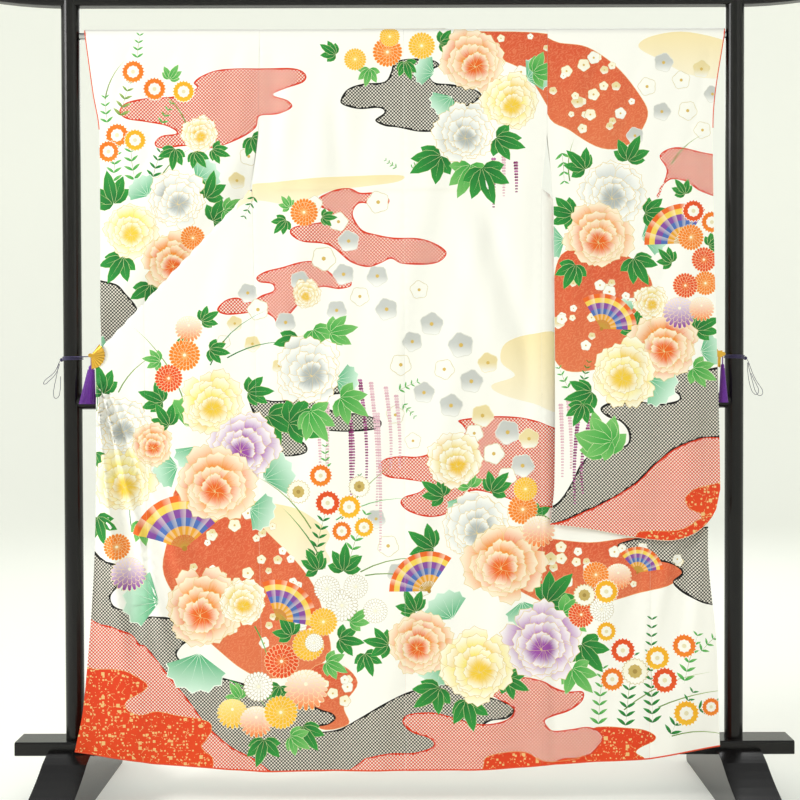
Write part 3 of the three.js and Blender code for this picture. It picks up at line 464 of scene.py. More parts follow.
def back_outline(half):
    seam = CENTRE_BACK + half["sign"] * GAP / 2
    hem_at = walk(0, 1, 0.03)
    hem = BACK_HEM + (half["hem"][0] - BACK_HEM) * hem_at ** 3
    down, up = walk(0.5, BACK_HEM), walk(half["hem"][0], 0.5)
    side = edge_x(half, up) - half["sign"] * GAP / 2
    hem_x = seam + (side[0] - seam) * hem_at
    top = walk(side[-1], seam)
    return joined((seam, down), (hem_x, hem), (side, up), (top, 0.5))


def fold_crossing(half, rows, inset):
    """Where an edge given by rows of drop and x meets the diagonal fold."""
    start, run, _ = fold_line(half)
    drop = ARMPIT
    for _ in range(12):
        drop = start[1] + (along(rows, drop) + inset - start[0]) * run[1] / run[0]
    return along(rows, drop) + inset, drop


def panel_edge(half, u):
    """Seam between the upper front and the upper overlap, from the collar to the fold."""
    tip_share = collar_share(half, SEAMED)
    tip, ahead = (np.array(collar_seam(half, tip_share + k)) for k in (0, 0.01))
    bend = tip + (ahead - tip) * OKUMI_BEND / np.hypot(*(ahead - tip))
    end = np.array(fold_crossing(half, half["okumi"], 0))
    u = np.asarray(u)[:, None]
    x, drop = ((1 - u) ** 2 * tip + 2 * u * (1 - u) * bend + u * u * end).T
    return x, drop


def front_outline(half):
    inset = half["sign"] * GAP / 2
    _, _, out = fold_line(half)
    lower_up = walk(half["hem"][0], ARMPIT)
    upper_up = walk(ARMPIT, 0.5)
    collar_x, collar_drop = collar_seam(half, walk(0.0005, float(collar_share(half, SEAMED)), 0.02))
    seam_x, seam_drop = panel_edge(half, walk(0, 1, 0.04))
    turn_x, turn_drop = fold_crossing(half, half["okumi"], -inset)
    okumi_down = walk(turn_drop, half["hem"][1])
    hem_at = walk(0, 1, 0.04)
    okumi_x = along(half["okumi"], okumi_down) - inset
    side_x = edge_x(half, half["hem"][0]) + inset
    hem_x = okumi_x[-1] + (side_x - okumi_x[-1]) * hem_at
    hem_v = half["hem"][1] + (half["hem"][0] - half["hem"][1]) * hem_at
    return joined(
        (edge_x(half, lower_up) + inset, lower_up),
        unfold(half, edge_x(half, upper_up) - inset, upper_up),
        unfold(half, walk(edge_x(half, 0.5) - inset, half["neck"]), np.array(0.5)),
        unfold(half, collar_x + inset, collar_drop),
        unfold(half, seam_x, seam_drop),
        (okumi_x, okumi_down),
        (hem_x, hem_v),
    )


def overlap_outline(half):
    inset = half["sign"] * GAP / 2
    seam_x, seam_drop = panel_edge(half, walk(0.06, 1, 0.04))
    tip = float(collar_share(half, SEAMED))
    collar_x, collar_drop = collar_seam(half, walk(1, tip + 0.02, 0.02))
    outer_down = walk(half["clip"][1], half["hem"][2])
    turn_x, turn_drop = fold_crossing(half, half["okumi"], inset)
    okumi_up = walk(half["hem"][1], turn_drop)
    hem_at = walk(0, 1, 0.06)
    outer_x = along(half["outer"], outer_down)
    okumi_x = along(half["okumi"], okumi_up) + inset
    hem_x = outer_x[-1] + (okumi_x[0] - outer_x[-1]) * hem_at
    hem_v = half["hem"][2] + (half["hem"][1] - half["hem"][2]) * hem_at
    return joined(
        (outer_x, outer_down),
        (hem_x, hem_v),
        (okumi_x, okumi_up),
        unfold(half, seam_x[::-1] - 0 * inset, seam_drop[::-1] + GAP),
        unfold(half, collar_x[::-1], collar_drop[::-1] - GAP),
    )


def sleeve_outline(half):
    across = walk(0, 1, 0.025)
    inner_at = lambda s: sleeve_sides(half, np.abs(s))[0]
    outer_at = lambda s: sleeve_sides(half, np.abs(s))[1]
    bottom = sleeve_bottom(half, across)
    sides = np.array([sleeve_sides(half, b) for b in bottom])
    bottom_x = sides[:, 0] + (sides[:, 1] - sides[:, 0]) * across
    up_inner = walk(-bottom[0], bottom[0])
    down_outer = walk(bottom[-1], -bottom[-1])
    return joined(
        (inner_at(up_inner), up_inner),
        (bottom_x, bottom),
        (outer_at(down_outer), down_outer),
        (bottom_x[::-1], -bottom[::-1]),
    )


for side, half in HALVES.items():
    print(side, "back", len(back_outline(half)), "front", len(front_outline(half)),
          "overlap", len(overlap_outline(half)), "sleeve", len(sleeve_outline(half)))

# %% [markdown]
# ## The cords that hold the fronts open
# A thin cord ties each fan clip to its post, and its two loops hang free from the knot. Each pair of
# loops is one smooth curve through given points, the same as on the imported model.

# %% Loops of the tie cords
KNOT_X = 746.5
KNOT_Z = 959.43
LOOP_RADIUS = 0.6

# Points down one loop and back through the other: out, towards the viewer, down from the knot.
LOOPS = {
    "left": [
        (3.9, 0.5, 2.5), (6, 1.6, 8), (9, 3.4, 16), (14, 5.2, 26), (22, 6.4, 34), (31, 6.8, 41),
        (37, 6.6, 47.5), (38.4, 6, 52), (34.6, 5.4, 52.6), (27, 5, 46), (18, 4.2, 38), (11, 3, 28),
        (7, 1, 18), (5.4, -1, 9), (7.6, -2.6, 11), (10, -3.8, 24), (14, -4.6, 42), (18, -5, 60),
        (19.4, -5.2, 75), (16, -5.4, 84), (10, -5.6, 82), (5.4, -5.8, 68), (4.2, -6, 50), (4, -6.2, 36),
    ],
    "right": [
        (3.9, 0.5, 2.5), (7, 1.8, 10), (11, 3.4, 22), (16, 5, 36), (23, 6.2, 50), (31, 6.8, 62),
        (36, 6.8, 71), (35.4, 6.4, 79), (29, 6, 81.6), (22, 5.2, 74), (16, 4.2, 56), (11, 2.8, 36),
        (7.4, 1, 20), (5.6, -1, 10), (5.6, -2.8, 14), (6.4, -4, 30), (9, -4.8, 48), (13, -5.2, 64),
        (19, -5.4, 76), (26, -5.6, 79.6), (30.6, -5.8, 72), (26, -6, 58), (19, -6.2, 44), (14, -6.4, 33),
    ],
}


def curve_object(name, points, radius, material):
    """A round cord along one smooth open curve through points, in metres."""
    data = bpy.data.curves.new(name, "CURVE")
    data.dimensions = "3D"
    data.bevel_depth = radius
    data.bevel_resolution = 3
    data.resolution_u = 6
    spline = data.splines.new("BEZIER")
    spline.bezier_points.add(len(points) - 1)
    for knot, point in zip(spline.bezier_points, points):
        knot.co = point
        knot.handle_left_type = knot.handle_right_type = "AUTO"
    data.materials.append(material)
    return shown(name, data)


def cord_material(name, code):
    """Braided silk cord: a fine slanting weave over dyed thread."""
    material, tree, shader = finish(name, Roughness=0.55, Sheen_Weight=0.4, Sheen_Roughness=0.4)
    place_at = node(tree, "TexCoord").outputs["Object"]
    wave = node(tree, "TexWave", {"Vector": place_at, "Scale": 420.0, "Distortion": 1.5},
                bands_direction="DIAGONAL")
    dark = [c * 0.55 for c in linear(code)] + [1]
    colour = mix(tree, wave.outputs["Fac"], dark, linear(code) + [1])
    tree.links.new(colour, shader.inputs["Base Color"])
    bump(tree, shader, wave.outputs["Fac"], 0.3, 0.0003)
    return material


PURPLE = cord_material("purple_cord", "2E1F5C")


def curve_length(points):
    """Length of the smooth curve through the points, walked in small steps."""
    made = curve_object("measure", points, 0, PURPLE)
    mesh = made.to_mesh()
    spots = [v.co.copy() for v in mesh.vertices]
    length = sum((b - a).length for a, b in zip(spots, spots[1:]))
    made.to_mesh_clear()
    bpy.data.objects.remove(made)
    return length


for side, sign in (("left", -1), ("right", 1)):
    knot = Vector((sign * KNOT_X, 0, KNOT_Z)) * MM
    points = [knot + Vector((sign * out, -near, -down)) * MM for out, near, down in LOOPS[side]]
    length = curve_length(points)
    loops = curve_object(f"tie_bow_{side}", points, LOOP_RADIUS * MM, PURPLE)
    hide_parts(f"tie_bow_{side}")
    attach(loops, "root")
    print(side, "loops", round(length * 1000), "mm long")

# %% [markdown]
# ## Drawing with patches of dye
# The picture on the cloth is dyed and hand-painted. Here it is a stack of flat patches. A patch has
# an outline in millimetres on the flat cloth and a dye that shades from one colour to another, as a
# wide brush leaves it. Later patches lie on top of earlier ones. A pattern number asks the material
# for tied dots or gold flecks instead of plain dye.

# %% Patches and outlines
Patch = namedtuple("Patch", "outline near far start end pattern")
PLAIN, TIED_DOTS, FLECKS, MIST = 0, 1, 2, 3
CM = 10


def lay(art, outline, near, far=None, start=None, end=None, pattern=PLAIN):
    """Put one patch on top of the others. Dyes are hex codes."""
    outline = np.asarray(outline, float)
    start = outline[0] if start is None else start
    end = start + 1 if end is None else end
    art.append(Patch(outline, linear(near), linear(far or near), np.array(start), np.array(end), pattern))


def smooth_loop(points, steps=4):
    """A closed smooth curve through a few points."""
    a, b, c, d = (np.roll(np.array(points, float), k, axis=0) for k in (1, 0, -1, -2))
    t = (np.arange(steps) / steps)[:, None, None]
    curve = b + 0.5 * ((c - a) * t + (2 * a - 5 * b + 4 * c - d) * t * t + (3 * b - a - 3 * c + d) * t ** 3)
    return curve.transpose(1, 0, 2).reshape(-1, 2)


def turned(shape, at, angle):
    """Points given as (aside, ahead), turned so that ahead points along the angle from upright."""
    shape = np.asarray(shape, float)
    turn = math.radians(angle)
    ahead = np.array([math.sin(turn), -math.cos(turn)])
    aside = np.array([math.cos(turn), math.sin(turn)])
    return np.array(at) + shape[:, :1] * aside + shape[:, 1:] * ahead


def ring(at, radius, count=14, wave=0.0, lobes=5, phase=0.0):
    """A circle, or a scalloped one."""
    turn = np.arange(count) / count * 2 * np.pi
    reach = radius * (1 + wave * np.cos(lobes * turn + phase))
    return np.array(at) + np.stack([reach * np.sin(turn), -reach * np.cos(turn)], axis=-1)


def inset(outline, depth):
    """The outline moved inwards by a depth that may vary from point to point."""
    along_it = np.roll(outline, -1, axis=0) - np.roll(outline, 1, axis=0)
    normal = np.stack([-along_it[:, 1], along_it[:, 0]], axis=-1)
    normal /= np.hypot(*normal.T)[:, None] + 1e-9
    x, y = outline.T
    area = np.sum(x * np.roll(y, -1) - y * np.roll(x, -1))
    return outline + normal * math.copysign(1, area) * np.reshape(depth, (-1, 1))


# %% [markdown]
# ## Flowers and leaves
# The flowers are the usual ones of a furisode: tree peonies with ruffled petals, chrysanthemums,
# plum blossom and hanging wisteria. Each is a function, so one rule draws dozens of flowers, and a
# seed makes each a little different. Petals are deep at the base and pale at the lip.

# %% Petals and peonies
GOLD_LINE = "E9CF8E"
PEONIES = {
    # name: base, lip, heart
    "orange": ("F08A22", "FFF0D6", "EA661A"),
    "yellow": ("F9E56A", "FFFBE6", "F2C93A"),
    "silver": ("D9DCDB", "FEFDF8", "AEB4B4"),
    "lilac": ("B06CBB", "FBF4F8", "9A4BA8"),
    "cream": ("F0D670", "FFFEF6", "EFC02F"),
}


def petal(art, at, angle, inner, outer, width, base, lip, rng):
    """A petal with a lobed lip. Its dye stays deep up to the middle and then fades to the lip."""
    length = outer - inner
    t = np.linspace(-1, 1, 9)
    lobes = 0.055 * np.cos(3 * np.pi * t + rng.uniform(-0.8, 0.8))
    crown = np.stack([width * np.sin(t * np.pi / 2), inner + length * (1 - 0.26 * t ** 2 + lobes)], axis=-1)
    waist = inner + 0.38 * length
    shape = np.array([(-0.25 * width, inner), (-0.66 * width, waist), *crown, (0.66 * width, waist),
                      (0.25 * width, inner)])
    centre = np.array([0, inner + 0.5 * length])
    rim = centre + (shape - centre) * (1 + 0.8 / max(width, 4))
    hold = rng.uniform(0.42, 0.56)
    start, end = turned([(0, inner + hold * length), (0, inner + 0.96 * length)], at, angle)
    lay(art, turned(rim, at, angle), GOLD_LINE)
    lay(art, turned(shape, at, angle), base, lip, start, end)
    if length > 18:
        for lean in (-0.5, 0.05, 0.55):
            reach = inner + length * rng.uniform(0.72, 0.86)
            vein = [(lean * width * 0.5 - 0.7, inner + 0.3 * length), (lean * width, reach),
                    (lean * width * 0.5 + 0.7, inner + 0.3 * length)]
            lay(art, turned(vein, at, angle), base)


# How a peony is built up: petals, first and last angle, inner and outer reach, width.
PEONY_ROUNDS = [
    (10, 0, 324, 0.15, 1.0, 0.30),
    (7, -112, 112, 0.12, 0.84, 0.27),
    (6, 108, 252, 0.05, 0.76, 0.27),
    (7, -96, 96, 0.02, 0.62, 0.20),
    (5, 125, 235, 0.0, 0.50, 0.18),
    (5, -66, 66, 0.0, 0.42, 0.13),
]


def peony(art, at, radius, dye, seed=0, **_):
    """A tree peony seen from a little to one side: wide outer petals and a cup of upright ones."""
    rng = random.Random(seed * 7 + int(radius))
    base, lip, heart = PEONIES[dye]
    lean = rng.uniform(-35, 35)
    for k, (count, first, last, inner, outer, width) in enumerate(PEONY_ROUNDS):
        spot = turned([(0, -0.035 * k * radius)], at, lean)[0]
        for i in range(count):
            angle = lean + first + (last - first) * i / (count - 1) + rng.uniform(-8, 8)
            reach = radius * outer * rng.uniform(0.84, 1.06)
            deep = heart if k > 3 or rng.random() < 0.2 else base
            petal_width = width * radius * rng.uniform(0.85, 1.15)
            petal(art, spot, angle, inner * radius, reach, petal_width, deep, lip, rng)


# %% Daisies, chrysanthemums and plum blossom
DAISIES = {
    # name: petal at the heart, petal at the tip, disc
    "orange": ("F07A1C", "F58A22", "FBF8EE"),
    "red": ("E4501A", "EC5A1E", "FBF8EE"),
    "yellow": ("F6B21F", "F9C02C", "FBF8EE"),
    "cream": ("FBF6E2", "FFFDF6", "C9AE62"),
}


def daisy(art, at, radius, dye, seed=0, **_):
    """A ring of short petals round a pale disc."""
    near, far, disc = DAISIES[dye]
    lay(art, ring(at, radius * 1.07, 40, 0.07, 20), "FFFDF4" if dye != "cream" else "D2BF86")
    lay(art, ring(at, radius, 60, 0.09, 20), near, far, at, np.array(at) + (0, radius))
    lay(art, ring(at, radius * 0.56, 30, 0.08, 10), disc)
    lay(art, ring(at, radius * 0.2, 8), "E9DFB8" if dye != "cream" else "A98B45")


def chrysanthemum(art, at, radius, dye, seed=0, half=None, **_):
    """Narrow petals in three layers. A half flower is seen from above its rim, pale at the top."""
    tips = {"orange": "F58220", "red": "EA4E1C", "yellow": "F8C02A", "white": "FFFEFA",
            "purple": "8E3A9E", "blush": "F9822A"}
    pale = {"orange": "FBD08A", "red": "F7A45C", "yellow": "FCE68C", "white": "EDE9D8",
            "purple": "F4E6F2", "blush": "FFF6E8"}
    at = np.array(at, float)
    rise = (0, 0) if half is None else (0, 0.3 * radius)
    heart = turned([rise], at, 0)[0]
    top, bottom = turned([(0, 0.8 * radius), (0, -0.9 * radius)], at, 0)
    line_dye = "B9A878" if dye == "white" else "FBE3B2"
    for k, (count, outer) in enumerate([(24, 1.0), (17, 0.72), (10, 0.44)]):
        for i in range(count):
            angle = 360 * (i + 0.5 * (k % 2)) / count
            squash = 1.0 if half is None else 1 - 0.3 * math.cos(math.radians(angle))
            reach = radius * outer * squash
            width = radius * outer * math.pi / count
            shape = np.array([(-0.2 * width, 0), (-0.95 * width, 0.72 * reach), (-0.6 * width, 0.95 * reach),
                              (0, reach), (0.6 * width, 0.95 * reach), (0.95 * width, 0.72 * reach),
                              (0.2 * width, 0)])
            lay(art, turned(shape * [1.18, 1.03], heart, angle), line_dye)
            if half is None:
                start, end = turned([(0, 0), (0, 0.6 * reach)], heart, angle)
                lay(art, turned(shape, heart, angle), pale[dye], tips[dye], start, end)
            else:
                lay(art, turned(shape, heart, angle), pale[dye], tips[dye], top, bottom)
    lay(art, ring(heart, radius * 0.1, 8), "FFF7DC")


PLUM_DYES = {
    # name: petals, line
    "silver": ("C9CBC8", "E6E4DC"), "white": ("FCFAF2", "E2D8B8"),
    "cream": ("FBF3D9", "D9BC78"), "gold": ("EBD9A4", "F6EBC8"),
}


def plum(art, at, radius, dye, seed=0, **_):
    """A round five-petalled blossom."""
    petals, line = PLUM_DYES[dye]
    turn = random.Random(seed).uniform(0, 6)
    lay(art, ring(at, radius * 1.08, 20, 0.08, 5, turn), line)
    lay(art, ring(at, radius, 20, 0.1, 5, turn), petals, "FAF9F5", at, np.array(at) + (0, radius))
    lay(art, ring(at, radius * 0.2, 6), "D9B75E")


# %% Leaves, sprays, wisteria and grass
GREENS = {
    # name: at the stalk, at the tip, vein
    "deep": ("0F6B2B", "2F9A3C", "CFE09A"),
    "fresh": ("2E9E3C", "7CC46A", "E8F2C0"),
    "mint": ("1FA968", "D8F3E2", "F2FBEF"),
    "olive": ("5E8A34", "A9BE6C", "E9EBC2"),
}


def blade(art, at, angle, length, width, dye, bend=0.0, vein=True):
    """One pointed leaf, bent to one side by a share of its length."""
    near, far, line = GREENS[dye]
    t = np.array([0, 0.22, 0.5, 0.78])
    swell = width * np.array([0.2, 0.85, 1.0, 0.62])
    aside = bend * length * t * t
    left = np.stack([aside - swell, length * t], axis=-1)
    right = np.stack([aside + swell, length * t], axis=-1)
    tip = np.array([[bend * length, length]])
    shape = np.concatenate([left, tip, right[::-1]])
    start, end = turned([(0, 0), (0, length)], at, angle)
    if vein:
        spine = np.concatenate([aside, [bend * length], aside[::-1]])[:, None]
        rim = shape + np.sign(shape[:, :1] - spine) * [0.7, 0]
        lay(art, turned(rim, at, angle), line)
    lay(art, turned(shape, at, angle), near, far, start, end)
    if vein:
        middle = [(-0.35, 0), (bend * length * 0.6, length * 0.85), (0.35, 0)]
        lay(art, turned(middle, at, angle), line)


def leaf(art, at, angle, size, dye="deep", seed=0, **_):
    """A peony leaf: five leaflets that fan out from the stalk."""
    rng = random.Random(seed + int(size))
    for lean, share in ((-78, 0.6), (70, 0.62), (-42, 0.82), (38, 0.85), (0, 1.0)):
        turn = angle + lean + rng.uniform(-6, 6)
        blade(art, at, turn, size * share, size * 0.19, dye, rng.uniform(-0.15, 0.15))


def round_leaf(art, at, angle, size, dye="mint", **_):
    """A broad leaf with a notched edge, shaded to a pale rim."""
    near, far, line = GREENS[dye]
    t = np.linspace(-1, 1, 13)
    notch = 1 - 0.1 * (np.arange(13) % 2)
    edge = np.stack([0.75 * np.sin(t * 1.7), 0.45 + 0.55 * np.cos(t * 1.7)], axis=-1) * size
    edge = edge * notch[:, None]
    shape = np.concatenate([[(0, 0)], edge])
    start, end = turned([(0, 0), (0, size)], at, angle)
    lay(art, turned(shape * 1.03, at, angle), line)
    lay(art, turned(shape, at, angle), near, far, start, end)
    for lean in (-45, -20, 5, 30, 52):
        wedge = turned([(-0.5, 0), (0, 0.8 * size), (0.5, 0)], at, angle + lean)
        lay(art, wedge, line)


def spray(art, at, angle, length, dye="deep", bend=0.1, pairs=7, **_):
    """A stem with pairs of narrow leaflets, like bamboo grass or fern."""
    for i in range(pairs):
        t = (i + 0.6) / pairs
        spot = turned([(bend * length * t * t, length * t)], at, angle)[0]
        for lean in (-48, 48):
            size = min(length * 0.26, 24) * (1.05 - 0.5 * t)
            turn = angle + lean + 60 * bend * t
            blade(art, spot, turn, size, size * 0.15, dye, 0.12 * np.sign(lean), vein=False)
    stem = [(0, 0), (bend * length * 0.25 - 0.5, length * 0.5), (bend * length, length),
            (bend * length * 0.25 + 0.5, length * 0.5)]
    lay(art, turned(stem, at, angle), "8CA65A")


def wisteria(art, at, length, dye="purple", seed=0, sway=0.0, **_):
    """A hanging string of small petals in pairs, smaller towards the end."""
    near, far = {"purple": ("7E1F5E", "B867A0"), "pale": ("DDAFBE", "EBCBD3")}[dye]
    count = max(6, int(length / 6))
    for i in range(count):
        t = i / count
        spot = np.array(at) + (sway * length * math.sin(t * 2.2), length * t)
        size = 6.2 * (1 - 0.5 * t)
        for lean in (-125, 125):
            shape = np.array([(-0.35, 0), (-0.5, 0.6), (0, 1), (0.5, 0.6), (0.35, 0)]) * size
            lay(art, turned(shape, spot, lean), far if (i + seed) % 4 == 0 else near, far, spot, spot + size)


def grass(art, at, angle, length, dye="olive", bend=0.5, **_):
    """One long bending blade of grass."""
    near, far, _ = GREENS[dye]
    t = np.linspace(0, 1, 7)
    middle = np.stack([bend * length * t ** 2.2, length * t], axis=-1)
    width = 1.3 * (1 - t ** 3)[:, None] * [1, 0.3]
    shape = np.concatenate([middle - width, (middle + width)[::-1]])
    start, end = turned([(0, 0), (0, length)], at, angle)
    lay(art, turned(shape, at, angle), near, far, start, end)


def fan(art, at, angle, radius, dyes, spread=62, **_):
    """An open folding fan: ribs, then pleated paper in bands of colour."""
    count = 13
    for i in range(count):
        turn = angle + spread * (2 * (i + 0.5) / count - 1)
        half_width = math.tan(math.radians(spread / count))
        bands = [0.26, 0.42, 0.58, 0.74, 0.88, 1.0]
        rib = [(-0.5, 0), (-1.2, 0.3 * radius), (1.2, 0.3 * radius), (0.5, 0)]
        lay(art, turned(rib, at, turn), "C99A3C")
        for low, high, dye in zip(bands, bands[1:], dyes):
            quad = [(-half_width * low, low), (-half_width * high, high), (half_width * high, high),
                    (half_width * low, low)]
            deep, lip = (dye, "FFF3DC") if i % 2 else (dye, dye)
            start, end = turned([(-half_width * radius, radius), (half_width * radius, radius)], at, turn)
            lay(art, turned(np.array(quad) * radius, at, turn), deep, lip, start, end + (end - start) * 0.7)
    lay(art, ring(at, radius * 0.05, 8), "B5842C")


# %% [markdown]
# ## Drifting clouds
# Bands of cloud tie the picture together. Some are filled with tied dots, each one a knot that kept
# the dye out, inside a thick drawn edge. Others are plain mist, gold leaf or vermilion with flecks.

# %% Clouds
CLOUDS = {
    # name: edge, edge's width, fill at the top, fill at the bottom, pattern
    "black_dots": ("080706", 5.2, "0A0908", "0A0908", TIED_DOTS),
    "red_dots": ("D93510", 4.2, "D63511", "D63511", TIED_DOTS),
    "flecks": ("E9B36A", 0.9, "E03A10", "E8480F", FLECKS),
    "gold": ("F8E8BC", 0.1, "F9E6B2", "FBF1D8", PLAIN),
    "mist": ("F0C48C", 1.0, "D95230", "E2754A", MIST),
}


def cloud(art, points, kind):
    """A cloud from given points in centimetres."""
    edge, width, top, bottom, pattern = CLOUDS[kind]
    outline = smooth_loop(np.array(points, float) * CM, 5)
    step = np.hypot(*(np.roll(outline, -1, axis=0) - outline).T)
    scallop = 0.7 + 0.3 * np.cos(np.cumsum(step) / 5.5 * 2 * np.pi) if pattern == TIED_DOTS else 1.0
    lay(art, outline, edge)
    low, high = outline[:, 1].min(), outline[:, 1].max()
    lay(art, inset(outline, width * scallop), top, bottom, (0, low), (0, high), pattern)

# %% [markdown]
# ## The layout
# The picture is planned on the hanging garment: centimetres across from its centre, and centimetres
# down from the shoulder. It runs on over the seams, so the body's panels share one layout. Each
# sleeve has its own.

# %% Tables as text


def reading(word):
    """A number, a word, or nothing at all where the table has a dash."""
    if word == "-":
        return None
    return word if word[0].isalpha() else float(word) if "." in word else int(word)


def table(text):
    """A table whose rows end with a semicolon."""
    return [tuple(reading(word) for word in row.split()) for row in text.split(";")]


def loop_of(text):
    """Points of an outline, each written as x,drop."""
    return [tuple(float(word) for word in pair.split(",")) for pair in text.split()]


